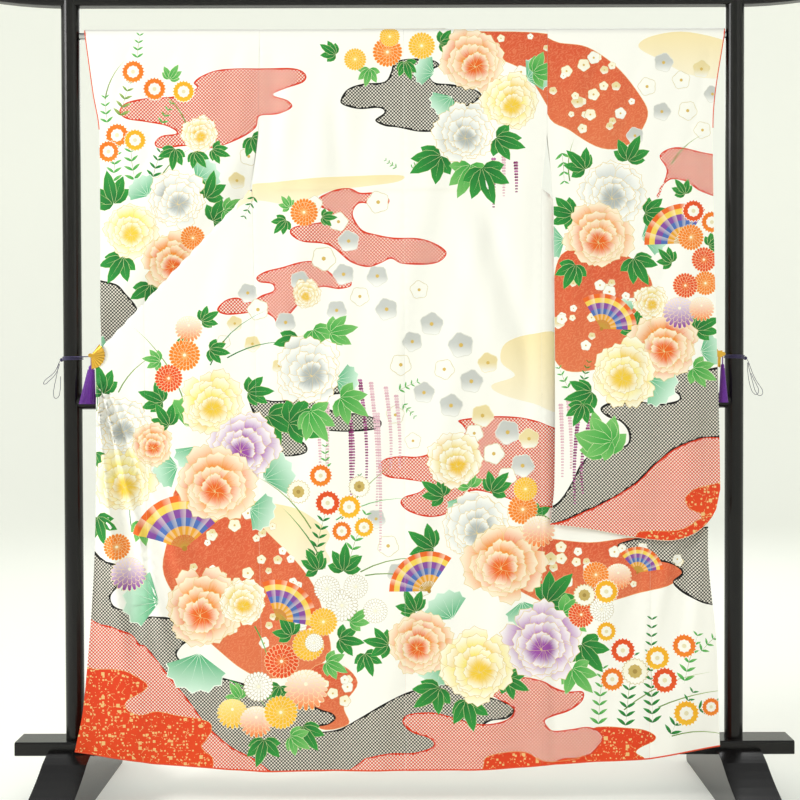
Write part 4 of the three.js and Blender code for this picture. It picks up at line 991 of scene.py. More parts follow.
# %% Clouds of the layout
SHOULDER_CLOUD = loop_of("""
    -61.3,18.6 -59.8,16.8 -55.4,15.8 -50,15.5 -46.7,14.7 -44.5,13.6 -45.2,12.5 -43.4,11 -39,9.6 -31.4,9.4
    -23.8,9.4 -21,10.7 -21.6,12.5 -26,14 -28.2,15.1 -24.9,16.4 -24,17.9 -27,19.3 -31,19.7 -31.9,22.3
    -35.8,24.9 -41.3,26.7 -46.7,26.2 -52.2,26.7 -53.7,25.6 -52.2,24 -48.9,23.4 -51,21.9 -55.4,21
    -59.8,20.3""")
BODY_CLOUDS = [
    ("red_dots", SHOULDER_CLOUD),
    ("gold", loop_of("""
    -35,103 -31,103 -25,104 -22,105 -19,107 -16,110 -17,113 -16,116 -21,117 -27,116 -34,113 -36,107""")),
    ("gold", loop_of("""
    -31,38 -35,39 -36,40 -34,35 -27,34 -16,33 -1,32.6 -1,34 -8,35 -16,36 -23,39""")),
    ("gold", loop_of("""
    22,69 28,67 34,68 34,83 28,82 21,80 19,78 24,76 21,73""")),
    ("mist", loop_of("""
    -49,100 -42,99 -35,104 -29,110 -23,116 -19,122 -17,129 -16,136 -22,140 -30,141 -35,139 -40,135 -45,130
    -49,124 -52,117 -50,108""")),
    ("mist", loop_of("""
    15,113 22,111 30,111 40,112 50,111 60,113 63,117 58,121 51,123 43,125 34,126 26,123 19,118""")),
    ("mist", loop_of("""
    12,2 20,1.5 31,2 36,4 38,12 37,20 33,20 29,14 26,10 20,7""")),
    ("mist", loop_of("""
    -20,139 -14,138 -10,142 -13,147 -12,151 -18,152 -21,147""")),
    ("black_dots", loop_of("""
    -13.5,16.4 -12,14 -8.5,12.7 -4,12.3 -2.6,10.3 -2,8.6 0.2,7.5 5.7,7.5 8,8.8 5.8,10.3 6.8,12.5 11,13
    15.5,14 17,15.4 14.4,17.5 11,18.4 10,21.2 8,23 3.5,23.2 -1,22.3 -4,21.9 -6,20.6 -4,19 -5.2,18 -9.6,18.2
    -12.6,17.5""")),
    ("red_dots", loop_of("""
    -14.4,35.6 -11.4,35.4 -9.2,36.3 -6.3,36.3 -3.5,37.2 -3,38.5 -4.6,40 -7,38.9 -9.6,38.7 -10.9,40.7 -10,43
    -8.5,44.6 -5.7,45.4 -2,46.1 3.5,46.3 7.4,47.6 9.4,49.4 7.9,51.3 4.6,52 -0.2,51.8 -2.6,50.7 -4.8,51.6
    -7,52.4 -9.2,52.2 -11.8,51.1 -14.8,48.5 -17.2,47.4 -21.6,47 -24,45.7 -24.4,44.4 -22.7,43.5 -18.3,42.8
    -15.7,42 -16.2,40.2 -18.1,39.3 -18.3,37.6 -16.6,36.5""")),
    ("red_dots", loop_of("""
    -22,51.3 -18.8,51.3 -16.2,53.3 -13,55.7 -11.4,55.3 -11.4,56.6 -14,57.2 -18,56.8 -21.6,59.4 -24.5,62.7
    -27,65.5 -28,63.4 -31,62 -34.7,62.5 -38.4,62.7 -40.2,61.6 -38.4,59.6 -35.8,59 -33.2,60 -30.6,58.5
    -28,57.5 -28.4,56.1 -31,55.7 -31.7,54.6 -29.7,53.3 -26,52.4""")),
    ("black_dots", loop_of("""
    -33.2,80.2 -28.2,81.3 -22.7,80.8 -17.2,79.7 -15,78 -12.9,76.9 -11.8,78.4 -12.9,79.7 -15.5,80.2
    -17.2,82.3 -14,83.7 -9.6,84.1 -6.3,85 -4.8,85.8 -5.2,87.1 -7.9,87.8 -12.9,88 -18.3,87.6 -22.7,87.4
    -23.8,89.3 -21.6,90.2 -20.7,91.7 -21.6,92.8 -24.9,93.3 -27.5,92.6 -29.3,90 -31,86.7 -32.5,83.9""")),
    ("red_dots", loop_of("""
    -5.5,95.9 -4.1,93.9 -0.9,93.3 3.5,93.3 7.9,91.7 10.5,90 13.3,88.2 12.7,86.7 11.8,85.6 15.5,85 21,84.7
    26.4,85.2 31,86.7 36,90 36,103 27.5,104.2 21,102 14.4,100.9 10,105.3 5.7,106.4 1.3,105.3 -0.7,103.5
    0.2,102 3.5,100.9 4.6,99.1 0.2,98.3 -3.5,97.8""")),
    ("black_dots", loop_of("""
    46,112.6 51,111 62,109 72,110 72,125 66,125.5 62,124 59.5,122.5 58,120.5 60,118.5 57,116.5 52,116
    49,114.5""")),
    ("black_dots", loop_of("""
    -72,115.5 -64,115.7 -61,116.8 -59.8,119.5 -61.5,121.2 -63,123.2 -62.4,125.1 -59.8,126.4 -57.2,127.8
    -53.7,127.5 -50.6,127.8 -47.6,129.5 -45.4,131.3 -46.3,132.8 -48,134.1 -48.9,136 -46.7,138.2 -43.2,139.8
    -39,140.9 -34.7,142 -31,143.2 -24.9,144.6 -18.3,147.6 -15.7,148.5 -14.8,149.8 -16.6,151.1 -20,151.6
    -22,152.4 -18.8,152.6 -14,152 -9.6,149.6 -4.1,146.3 1.3,143.9 7.9,142.4 16.6,144.6 22.7,146.7 23.6,148.3
    22,149.8 17.7,150.7 14,156 8,164 -74,166""")),
    ("red_dots", loop_of("""
    -74,129.1 -65.3,129.3 -61.6,130.2 -58.7,131.5 -57,133.6 -55.4,134.3 -51,139.8 -46.3,145.9 -42,151.6
    -36.9,155.9 -31,159.4 -28,166 -78,166""")),
    ("flecks", loop_of("""
    -76,138.9 -66.4,138.9 -62.4,138.9 -59.8,139.3 -57.2,140.7 -55.4,142 -55.4,143 -57,144.2 -59.2,145.4
    -60,146.7 -58.9,148 -56.5,148.7 -53.3,148 -48.9,148.9 -44.5,149.6 -41.9,150.5 -41.5,152.2 -42.8,154.4
    -43.7,155.5 -42.8,156.8 -41.3,158.1 -41.5,161 -45,167 -80,167""")),
    ("flecks", loop_of("""
    40,152.6 43,151.8 47.6,152 51.5,152.4 54.1,153.7 53.7,155 50.9,156.3 50,157.4 51.5,159 43,161 25,163
    16,162 22,157 34,158""")),
    ("red_dots", loop_of("""
    -9.6,159.2 -7,157.9 -3.1,157.2 1.7,157.2 5.7,156.1 6.3,155 5,153.9 1.7,152.8 -0.2,151.1 -0.2,149.6
    1.7,148.7 6.1,148.5 10,149.4 14.4,150.7 18.3,150.9 22,150 23.6,148.3 22.7,147 19.9,145.4 18.1,144.1
    18.1,142.6 21,141.3 25.3,140.9 29.7,141.7 32.3,143.2 35.1,144.1 38.4,144.1 38.6,145.7 37.3,147.2
    35.1,148.5 32.3,149.4 30.3,150.2 30.8,151.6 32.3,152.6 36.2,152.2 39.5,151.8 42.1,152.8 42.8,154.6
    41,157.2 38,158.7 33.2,159.2 30,166 -14,166""")),
    ("flecks", loop_of("""
    17,159.4 18.3,157.7 22,157 26,157 28.6,158.3 31.4,159.2 36.2,158.8 39,158.2 38,163 18,166""")),
]
SLEEVE_CLOUDS = {
    "left": [
        ("red_dots", SHOULDER_CLOUD),
        ("black_dots", loop_of("""
    -72,56 -63,55.7 -59.8,58.3 -57.6,61.6 -58.7,64.9 -60.9,67 -65.3,69.9 -72,71""")),
    ],
    "right": [
        ("mist", loop_of("""
    28,3 34,4 40,5 46,9 51,15 53,20 49,26 43,27 36,23 31,19""")),
        ("gold", loop_of("""
    54,2.6 62,1.8 72,5 70,11.4 62,11 56,8 51,5""")),
        ("red_dots", loop_of("""
    55.5,28.5 59,26.7 64.6,27.8 72,30 72,38 64.6,36.5 61.3,34.3 58,33.7 55.9,35.4 54.8,37.6 57,32""")),
        ("mist", loop_of("""
    34,50 40,48.5 47,49.5 52.6,54 53.7,59 51.5,67 47,72.5 40,75 34,74.5 31,68 32,58""")),
        ("black_dots", loop_of("""
    54.6,77.8 56.3,76.2 60.3,75.1 64.6,74.7 74,75 74,90 67.9,89.5 64.6,89.5 61.3,90.4 57.6,92.2 53.7,95.4
    50.4,98.7 47.2,100.9 42.8,103.5 38.4,105.5 34,107.4 27,109 27,106 31.9,104 34,102.2 36.2,98.7 37.8,95.4
    40.2,92.8 42.8,91.7 46.7,91.3 48.2,90.2 48,87.8 46.3,85.8 43.9,85 42.4,83.7 42.6,82.6 45,81.5 48.2,81
    51.5,81.7 54.8,82.1 58.5,81.5 59.2,80.6 58,79.5 55.9,78.8""")),
        ("red_dots", loop_of("""
    27,108.9 34,107.3 38.4,105.4 42.8,103.4 47.2,100.8 50.4,98.6 53.7,95.3 57.6,92.1 61.3,90.3 64.6,89.4
    67.9,89.4 74,89.9 74,114 51.5,116 42.8,114 30,112""")),
        ("flecks", loop_of("""
    60.3,102.6 61.6,100.9 64.6,99.8 74,98.7 74,106.4 65,106.8 63.5,105.7 61.3,104.6""")),
        ("flecks", loop_of("""
    49.8,110.3 52.6,109.4 57,109.4 60.3,108.8 64.6,106.4 68,107.4 66,113 58,118 50,116""")),
    ],
}

# %% Flowers of the layout
# x, drop, radius, dye
BODY_PEONIES = table("""
    15.1 7.9 7.2 orange; 23.4 16.6 6.4 yellow; 13.3 23.4 6.6 silver; -60.9 86.7 6.6 silver;
    -41.3 81.7 7 yellow; -20.5 74.7 7.8 silver; -60.4 98.4 7.2 yellow; -34.3 91.1 7.6 lilac;
    -40.4 99.2 8.6 orange; -54.2 90.6 4.6 orange; -43.4 126 8.8 orange; -34.8 124.6 5.4 cream;
    11.1 94.4 6.2 cream; 15.5 108.5 7.8 silver; 21.6 116 9 orange; 3.5 133.6 7.2 orange;
    15.5 138.4 8.6 yellow; 29.7 133.4 8.8 lilac; -21 58.3 3.2 cream""")
# x, drop, radius, dye, and the angle a half flower opens to
BODY_CHRYSANTHEMUMS = table("""
    -10.3 7.5 2.4 yellow -; -3.3 5.9 3.2 orange -; -2.8 2.6 2.2 yellow -; 4.1 4.6 2.9 yellow -;
    -21.4 40.6 3 orange -; -47.2 71.4 3.4 orange -; -50.6 76.4 3 red -; -46.3 65.8 2.8 blush 150;
    -59.2 118.6 3.6 purple 175; -61.8 112.6 2.8 orange -; -26.4 137.3 3.7 red -; -21.2 143.6 4.4 blush 180;
    -20.7 133.9 3.4 yellow -; -19.4 133.4 2 white -; -31.4 142.8 3.2 white -; -37 148.6 3.2 yellow 180;
    -31.9 150.4 3.4 blush 180; -26.6 148.3 3.6 yellow -; -13.4 125.4 3.4 white -; -16.6 121.8 2.8 white -;
    -17.4 128.9 3 yellow -; -10.4 121.4 2.6 white -; 25.6 104.8 3.2 orange -; 29 109.6 3.4 blush 150;
    26.2 100.4 2.6 yellow -; 38.2 127.6 2.8 red -; 42.6 126.4 2.6 white -; 46.2 119.4 2.8 blush 190;
    41.4 119 2.8 orange -; -6.2 126.6 2.6 white -""")
# x, drop, radius, dye
BODY_DAISIES = table("""
    -17.9 97.4 2.3 orange; -11.8 104.2 2.4 yellow; -16.4 103.3 2.5 red; -22.7 100.9 2.3 cream;
    -9.6 99.8 2.1 cream; 47.2 135.4 2.5 red; 54.6 137 2.5 yellow; 60.4 134.4 2.4 orange; 56.2 141.8 2.6 red;
    60.8 148.9 2.6 yellow; 44.9 141.6 2.4 orange; 49.8 139.9 2.6 cream; 66.2 147.6 1.9 orange;
    43.6 131.2 2 yellow; 38.9 123.4 2.2 cream; 43.6 122.6 2.4 yellow; -8.6 108.6 2 yellow;
    -13.4 109.4 2 orange""")
# x, drop, radius, dye
BODY_PLUMS = table("""
    -14 42.6 1.9 white; -11.8 46.8 2.1 silver; -19.2 38.8 1.6 white; -5.4 38.4 2.2 white;
    -12.9 54 2.1 silver; -17.2 50.6 2.4 white; -22.3 55.4 1.9 silver; -33.6 58 1.9 silver;
    -31.4 61.6 2.1 white; -25.4 64.4 2 silver; -14.4 61.8 2 silver; -5.6 54.4 2.1 silver;
    -9.4 58.8 1.9 white; -3.6 61.6 2.2 silver; 3.4 57.4 1.8 white; 6.1 64.8 2.3 silver; 1.9 68.6 2 silver;
    -0.6 73.6 2.1 white; 12.4 69.4 2.5 silver; 8.8 74.6 2 white; 14.6 77.2 2.3 silver; 18.2 73.2 2 gold;
    4.4 79.6 2.1 silver; 10.2 82.4 2.3 silver; 17 84.6 2.2 gold; 22.4 88.2 2.4 silver; 19.4 92.8 2.1 white;
    25.6 95.4 2.3 silver; 27 89.6 2 gold; 22.2 97.8 1.9 white; 15.2 88.4 1.8 white; -1.8 84.4 1.8 white;
    2 90 1.6 white; -3.4 112.6 2.1 white; -6 106.8 1.9 silver; -1.4 118.4 2 silver; 3.8 121.6 1.9 white;
    -26.8 73.8 1.4 gold; -32.6 69 1.6 gold; -36.4 64.6 1.5 gold; -38.8 68.6 1.4 white""")
# x, drop, angle, size, dye
BODY_LEAVES = table("""
    -14.6 6.4 -60 4 deep; -7.2 9.6 190 4 fresh; 0.6 8.2 170 4 deep; 8.2 4 80 4.5 deep; 8 28.6 235 7.5 deep;
    14.6 30.6 190 7.5 fresh; 20.4 24.6 120 6.5 deep; 17.2 31.4 165 8 deep; 28.4 10.4 70 6 fresh;
    -25.4 42.4 235 3.8 deep; -17.4 41.6 100 3.2 deep; -24.6 39.4 -40 3 fresh; -19.4 66.2 150 6.4 fresh;
    -22.8 67.8 215 6.4 deep; -15.6 66.6 80 6 fresh; -29 84.6 130 7.8 deep; -24.4 86 75 8.4 deep;
    -20 83.8 150 7.4 fresh; -13.4 80.8 120 7 fresh; -33.4 79.4 80 5.6 deep; -52 81.4 -60 5.6 deep;
    -64.6 79.4 -10 6.2 deep; -66.4 92.4 200 5.6 deep; -50.6 86.4 -30 5.4 deep; -66 106.4 160 6 deep;
    -56.4 107.2 165 5.4 fresh; -48.4 69.6 90 4.2 deep; -52.6 72.6 -80 3.8 fresh; -43.4 64 60 4.2 deep;
    -41.6 70.2 110 4.4 deep; -24.4 131.6 -40 5 deep; -16.6 137.6 110 5 fresh; -26.8 142.8 200 4.6 deep;
    -21.8 151.6 160 6 deep; -30.2 154.4 185 6 deep; -24.4 153.6 120 5 fresh; -13.8 132.6 100 5.4 deep;
    -11.6 128.8 60 5 fresh; -35.4 145.2 -40 4 fresh; -8.4 136 160 5 deep; -13 117.8 10 6 deep;
    -18.6 117.6 -30 5 deep; 6.2 113 -60 6.4 deep; 27.6 106.4 100 5.4 deep; 8.4 101.8 -50 5.6 deep;
    31 124.6 45 8 deep; 34.4 127.4 90 7.4 fresh; 38.4 134.2 140 7.4 deep; 36.4 139.4 150 6.6 fresh;
    7.4 143.4 230 6.8 deep; 13.4 146 165 6.8 deep; 22 141.2 120 5.6 deep; 2.4 126.6 -30 5.4 deep;
    -3.6 133.8 -80 5.4 deep; 19 100.8 40 5.4 deep; 14.2 99.8 -20 5 fresh""")
# x, drop, angle, size, dye
BODY_ROUND_LEAVES = table("""
    6.8 10.6 -70 4.4 mint; 10.6 15.6 220 5 mint; 26.8 12 60 5 mint; -30.2 98.2 60 7 mint;
    -46.8 86.8 20 6.6 fresh; -44.2 91 200 6 mint; -33.2 104.4 110 5.6 mint; -52.6 124.4 -80 8 mint;
    -44.2 135.6 190 8.6 mint; 10.4 128.4 -30 6.4 mint; 8.4 137.4 240 6.2 mint; 13 102 190 4.6 mint;
    25.4 124.6 170 5.4 mint; -14.6 76.8 100 5 mint; -48.6 95.4 260 5.6 mint""")
# x, drop, angle, length, dye, bend
BODY_SPRAYS = table("""
    -19.6 117.6 8 17 deep 0.1; -12.6 118.4 14 14 fresh 0.1; -16.6 96.6 -8 6 fresh 0.1;
    -8.4 101.4 -20 4.5 deep 0.1; 41.8 152.4 2 14 fresh 0.05; 47.6 152.6 4 17 deep 0.06;
    53.6 152 -3 24 deep 0.05; 57 154.4 22 12 deep 0.1; 62.4 148.4 70 8 deep 0.1; 60.2 143 10 12 fresh 0.1;
    63.4 136.2 40 7 fresh 0.1; -39.4 38.2 -40 6 deep 0.1; -32 36.4 -160 6 deep 0.1;
    -1 31.2 -60 3.6 fresh 0.1; 1.6 31.4 40 3.4 fresh 0.1; -1.6 79.4 60 5.5 fresh 0.1;
    -0.6 81.8 130 4.5 fresh 0.1; -62.4 116 150 8 deep 0.1""")
# x, drop, length, dye, sway
BODY_WISTERIA = table("""
    19.6 29 11 purple 0; 24.4 29.8 7 purple 0.02; 21.8 28.6 9 pale 0; -13 77.6 22 purple 0.1;
    -9.4 76.8 24 purple 0.06; -7 77.4 27 pale 0.05; -16.4 82 15 pale 0; -3.8 78.4 18 pale 0.06;
    -5.6 84 30 pale 0.02; -18.6 84.8 12 pale 0.05; -11.4 88 14 purple 0; -1.6 80.2 16 pale 0.05""")
# x, drop, angle, length, dye, bend
BODY_GRASS = table("""
    -41.6 73.6 20 16 deep 0.5; -38 72 60 14 deep 0.3; -46.8 83 -16 20 olive -0.3; -66 84 10 12 deep -0.4;
    -61.4 79.4 25 12 olive 0.4; -13.4 106.8 32 16 olive 0.2; -14.6 107 55 16 fresh 0.35;
    -20 108.8 -30 16 olive -0.3; -17 117.4 -24 16 deep -0.2; -9.4 118.2 62 18 olive 0.4;
    -8.4 119 80 14 olive 0.3; 47.4 148.2 50 20 olive 0.3; 54.8 147.6 66 16 olive 0.2;
    57.6 153.8 74 14 olive 0.35; -58.6 108.6 -10 9 deep 0.3; -23.6 146.4 230 10 olive 0.4;
    -37.6 141.4 110 12 fresh 0.4; -32.2 129.8 150 10 fresh 0.2""")
# Dyes from the rivet to the edge
FAN_DYES = ("E9A32E", "4C6FB8", "8A4BA4", "F6D25A", "EE6A22")
# x, drop, angle, radius
BODY_FANS = table("""
    -47.2 113 -12 11.5; -27.4 128.2 40 8.4; 5.4 122.4 -28 8.6; 50.4 118.6 20 5.6""")
# x, drop, spread across, spread down, count: plum blossom strewn over the mist
BODY_SCATTER = table("""
    -34 118 12 13 34; -24 132 7 7 10; 40 117 20 5 24; 26 8 9 6 12; -15 145 5 5 8""")

SLEEVE_FLOWERS = {
    "left": dict(
        peonies=table("""
    -43.9 23.6 3.9 cream; -48.9 37.6 6.6 silver; -58.9 44.3 6.2 yellow; -50.2 51 6.4 orange"""),
        chrysanthemums=[(-45.6, 46.0, 2.6, "orange", None), (-42.8, 50.0, 2.2, "blush", 20)],
        daisies=table("""
    -58.3 10.1 2.3 orange; -53.7 13.8 2.3 orange; -47.4 14.4 2.2 yellow; -61.8 23.8 2.4 orange;
    -57.9 24.9 2.2 yellow; -63.7 27.3 2.2 orange"""),
        plums=[(-33.4, 28.4, 1.8, "white"), (-36.0, 33.6, 1.6, "gold")],
        leaves=table("""
    -49.3 27 200 4.6 deep; -45 27.6 150 4.2 deep; -41 27 120 4 deep; -62.6 38.4 -20 7.2 deep;
    -41 42.2 60 6.2 deep; -42.6 37.2 20 6 deep; -60.6 50.4 210 6.4 deep; -54.8 56.4 190 6 deep;
    -38.6 40 100 5 fresh; -50.4 11.6 30 3.6 fresh; -32.6 24.4 150 5 deep"""),
        round_leaves=table("""
    -44.6 33.6 50 5.4 mint; -55 37 -40 4.8 mint; -43.6 55.2 120 5 mint"""),
        sprays=table("""
    -57.8 34.6 -12 10 fresh 0.1; -54.6 35.6 10 9 deep 0.1; -62.6 34.8 0 9 fresh 0.1;
    -57.4 8 0 6.4 fresh 0.1; -63.8 22 -10 7 fresh 0.1; -52.4 22 20 6 fresh 0.1; -61.2 20.6 10 9 olive 0.1"""),
        grasses=table("""
    -52.4 33 30 9 olive 0.3; -64.4 16 10 9 olive 0.3; -46.8 21.6 -20 8 olive -0.3"""),
    ),
    "right": dict(
        peonies=table("""
    45 36.5 7.6 silver; 42.2 46 7.4 orange; 56 69.4 7.8 orange; 47.4 75.4 7.4 yellow; 53.2 60.2 3.8 cream"""),
        chrysanthemums=table("""
    62 46.3 2.8 orange -; 64.8 51.1 2.7 red -; 65.1 56.2 2.6 orange -; 60.7 56.7 2.7 red -;
    59.4 62.6 3.4 purple 185; 64.2 61.8 2.6 blush 170"""),
        daisies=[(62.6, 40.6, 2.2, "red"), (66.6, 43.0, 2.2, "orange")],
        plums=table("""
    56.4 8.4 1.9 silver; 60.2 12.2 1.8 white; 64.6 9.8 1.8 gold; 52.8 13.6 1.8 white; 67 15.2 1.7 silver;
    61.6 18.8 1.9 white; 56 19 1.8 silver; 64.8 23 1.7 white; 50.2 24.2 1.7 silver"""),
        leaves=table("""
    48.6 29.4 20 6 deep; 39.2 31.4 -40 5.6 deep; 36.4 41.2 -80 6 deep; 52.4 41 90 5.8 deep;
    49.8 51 150 6.4 deep; 37 52.4 210 5.6 deep; 63.2 66.2 60 5.6 deep; 62.4 74.6 120 5.6 fresh;
    49.8 66 -30 5.6 deep; 40.2 79.6 250 6 deep; 43.4 92.4 -20 9.4 fresh; 44.4 90 -75 7.6 fresh;
    38.4 82.4 200 5 deep; 66 48 60 3.6 deep; 57.8 51.6 -50 4 deep; 60.8 36.8 -30 3.8 deep"""),
        round_leaves=table("""
    51.4 46.4 80 5.6 mint; 34.8 46.8 -100 4.8 mint; 52.6 76.8 120 6.4 mint; 63.8 71 80 4.8 mint;
    47.2 64 -20 4.6 mint"""),
        sprays=table("""
    35.8 79.4 -30 6 fresh 0.1; 38.6 77.6 10 5 deep 0.1; 34.2 26.8 170 8 fresh 0.1"""),
        wisteria_rows=table("""
    37.6 84 20 purple -0.05; 40.2 84.8 17 purple -0.12; 33.8 82.2 16 pale 0.02; 35.4 81.4 15 pale 0.04"""),
        grasses=[(36.0, 34.0, -10, 9, "olive", 0.3), (58.0, 30.4, 30, 9, "olive", 0.3)],
        fans=[(60.6, 47.6, -30, 8.6), (42.6, 66.0, 30, 7.6)],
        scatter=[(41, 15, 9, 8, 22), (42, 62, 9, 9, 20)],
    ),
}

# %% [markdown]
# ## Painting the picture
# The painter works from the back of the picture to the front: clouds, wisteria and grass, leaves,
# then flowers. `paint` does the same with one layout and returns the stack of patches.

# %% Paint the layouts


def strewn(art, rows, seed):
    """Plum blossom and single petals scattered over the mist."""
    rng = random.Random(seed)
    for x, drop, across, down, count in rows:
        for i in range(count):
            turn, reach = rng.uniform(0, 2 * math.pi), math.sqrt(rng.random())
            spot = ((x + across * reach * math.cos(turn)) * CM, (drop + down * reach * math.sin(turn)) * CM)
            plum(art, spot, rng.uniform(6, 13), rng.choice(["cream", "cream", "white", "gold"]), i)


def paint(clouds, peonies, chrysanthemums, daisies, plums, leaves, round_leaves, sprays,
          grasses, wisteria_rows=(), fans=(), scatter=()):
    """Lay down every motif of one layout, from the clouds at the bottom to the daisies on top."""
    art = []
    for kind, points in clouds:
        cloud(art, points, kind)
    strewn(art, scatter, 5)
    for k, (x, drop, radius, dye) in enumerate(plums):
        plum(art, (x * CM, drop * CM), radius * CM, dye, k)
    for k, (x, drop, length, dye, sway) in enumerate(wisteria_rows):
        wisteria(art, (x * CM, drop * CM), length * CM, dye, k, sway)
    for x, drop, angle, length, dye, bend in grasses:
        grass(art, (x * CM, drop * CM), angle, length * CM, dye, bend)
    for x, drop, angle, length, dye, bend in sprays:
        spray(art, (x * CM, drop * CM), angle, length * CM, dye, bend, pairs=max(4, int(length / 1.8)))
    for x, drop, angle, size, dye in round_leaves:
        round_leaf(art, (x * CM, drop * CM), angle, size * CM, dye)
    for k, (x, drop, angle, size, dye) in enumerate(leaves):
        leaf(art, (x * CM, drop * CM), angle, size * CM, dye, k)
    for x, drop, angle, radius in fans:
        fan(art, (x * CM, drop * CM), angle, radius * CM, FAN_DYES)
    for k, (x, drop, radius, dye) in enumerate(peonies):
        peony(art, (x * CM, drop * CM), radius * CM, dye, k)
    for k, (x, drop, radius, dye, half) in enumerate(chrysanthemums):
        chrysanthemum(art, (x * CM, drop * CM), radius * CM, dye, k, half)
    for x, drop, radius, dye in daisies:
        daisy(art, (x * CM, drop * CM), radius * CM, dye)
    return art


body_art = paint(BODY_CLOUDS, BODY_PEONIES, BODY_CHRYSANTHEMUMS, BODY_DAISIES, BODY_PLUMS, BODY_LEAVES,
                 BODY_ROUND_LEAVES, BODY_SPRAYS, BODY_GRASS, BODY_WISTERIA, BODY_FANS, BODY_SCATTER)
sleeve_art = {side: paint(SLEEVE_CLOUDS[side], **plan) for side, plan in SLEEVE_FLOWERS.items()}


def mirrored(art, x_sum=0.0, flip_drop=False):
    """The same patches on the other side of a vertical line, and on the sleeve's far side if asked."""
    scale = np.array([-1, -1 if flip_drop else 1])
    shift = np.array([x_sum, 0])
    moved = ("outline", "start", "end")
    return [p._replace(**{key: getattr(p, key) * scale + shift for key in moved}) for p in art]


print("patches:", len(body_art), {side: len(art) for side, art in sleeve_art.items()})

# %% [markdown]
# ## From patches to cloth
# The outline of the piece, every patch's outline and a grid of points go into one triangulation, so
# each patch has its own crisp edge in the mesh. Each triangle takes its dye from the topmost patch
# that covers its middle. The lining is a second sheet under the first, joined to it round the edge.

# %% Triangles and their dyes
IVORY = linear("FCFAF4")


def inside(points, outline):
    """Which points lie inside a closed outline."""
    x, y = points[:, :1], points[:, 1:]
    a, b = outline, np.roll(outline, -1, axis=0)
    crosses = (a[:, 1] > y) != (b[:, 1] > y)
    rise = b[:, 1] - a[:, 1]
    rise = np.where(np.abs(rise) < 1e-12, 1e-12, rise)
    at = (b[:, 0] - a[:, 0]) * (y - a[:, 1]) / rise + a[:, 0]
    return (crosses & (x < at)).sum(axis=1) % 2 == 1


def grid_in(outline, spacing):
    low, high = outline.min(axis=0), outline.max(axis=0)
    xs, vs = (np.arange(a + spacing / 2, b, spacing) for a, b in zip(low, high))
    points = np.stack(np.meshgrid(xs, vs), axis=-1).reshape(-1, 2)
    points[:, 0] += np.where(np.arange(len(points)) // len(xs) % 2, spacing / 4, -spacing / 4)
    return points[inside(points, outline)]


def box_finder(points):
    """A function that gives the numbers of the points in the box round an outline."""
    order = np.argsort(points[:, 0])
    along_x = points[order, 0]

    def near(outline):
        low, high = outline.min(axis=0), outline.max(axis=0)
        found = order[np.searchsorted(along_x, low[0]):np.searchsorted(along_x, high[0])]
        return found[(points[found, 1] > low[1]) & (points[found, 1] < high[1])]

    return near


def visible_edges(art):
    """The edges of the patches that no later patch covers, as a pair of ends for each."""
    starts = np.concatenate([p.outline for p in art])
    ends = np.concatenate([np.roll(p.outline, -1, axis=0) for p in art])
    number = np.repeat(np.arange(len(art)), [len(p.outline) for p in art])
    middles = (starts + ends) / 2
    hidden = np.zeros(len(starts), bool)
    boxed = box_finder(middles)
    for k, patch in enumerate(art):
        near = boxed(patch.outline)
        near = near[(number[near] < k) & ~hidden[near]]
        for points in (middles, starts, ends):
            near = near[inside(points[near], patch.outline)]
        hidden[near] = True
    return starts[~hidden], ends[~hidden]


def triangulate(outline, art, spacing):
    """Triangles inside the outline that respect every visible edge of the patches."""
    around = np.arange(len(outline))
    points, pairs = [outline], [np.stack([around, np.roll(around, -1)], axis=1)]
    if art:
        starts, ends = visible_edges(art)
        ends_of, pair = np.unique(np.concatenate([starts, ends]).round(3), axis=0, return_inverse=True)
        points.append(ends_of)
        pairs.append(pair.reshape(2, -1).T + len(outline))
    points = np.concatenate(points + [grid_in(outline, spacing)])
    pairs = np.concatenate(pairs).tolist()
    face = [around.tolist()]
    corners, _, triangles, *_ = delaunay_2d_cdt([Vector(p) for p in points], pairs, face, 1, 1e-4, False)
    corners = np.array([tuple(c) for c in corners])
    triangles = np.array([t for t in triangles if len(t) == 3])
    triangles = triangles[inside(corners[triangles].mean(axis=1), outline)]
    used, triangles = np.unique(triangles, return_inverse=True)
    return corners[used], triangles.reshape(-1, 3)


def dyed(corners, triangles, art, ground):
    """Dye and pattern number at each corner of each triangle."""
    middles = corners[triangles].mean(axis=1)
    owner = np.full(len(triangles), -1)
    boxed = box_finder(middles)
    for k, patch in enumerate(art):
        near = boxed(patch.outline)
        owner[near[inside(middles[near], patch.outline)]] = k
    base = Patch(None, ground, ground, np.zeros(2), np.ones(2), PLAIN)
    stack = list(art) + [base]
    keys = ("near", "far", "start", "end")
    near, far, start, end = (np.array([getattr(p, key) for p in stack]) for key in keys)
    axis = end - start
    spots = corners[triangles]
    share = ((spots - start[owner][:, None]) * axis[owner][:, None]).sum(axis=2)
    share = np.clip(share / (axis ** 2).sum(axis=1)[owner][:, None], 0, 1)[..., None]
    colours = near[owner][:, None] * (1 - share) + far[owner][:, None] * share
    patterns = np.array([p.pattern for p in stack])[owner]
    return colours, np.repeat(patterns[:, None], 3, axis=1)


# %% Cloth from triangles
THICK = 2.0
Sheet = namedtuple("Sheet", "object area size")


def hung(rule, corners):
    """Places and outward directions of flat points."""
    u, v = corners.T
    small = 0.4
    places = rule(u, v)
    across = rule(u + small, v) - rule(u - small, v)
    down = rule(u, v + small) - rule(u, v - small)
    outward = -np.cross(across, down)
    length = np.linalg.norm(outward, axis=1, keepdims=True)
    return places, outward / np.where(length < 1e-9, 1, length)


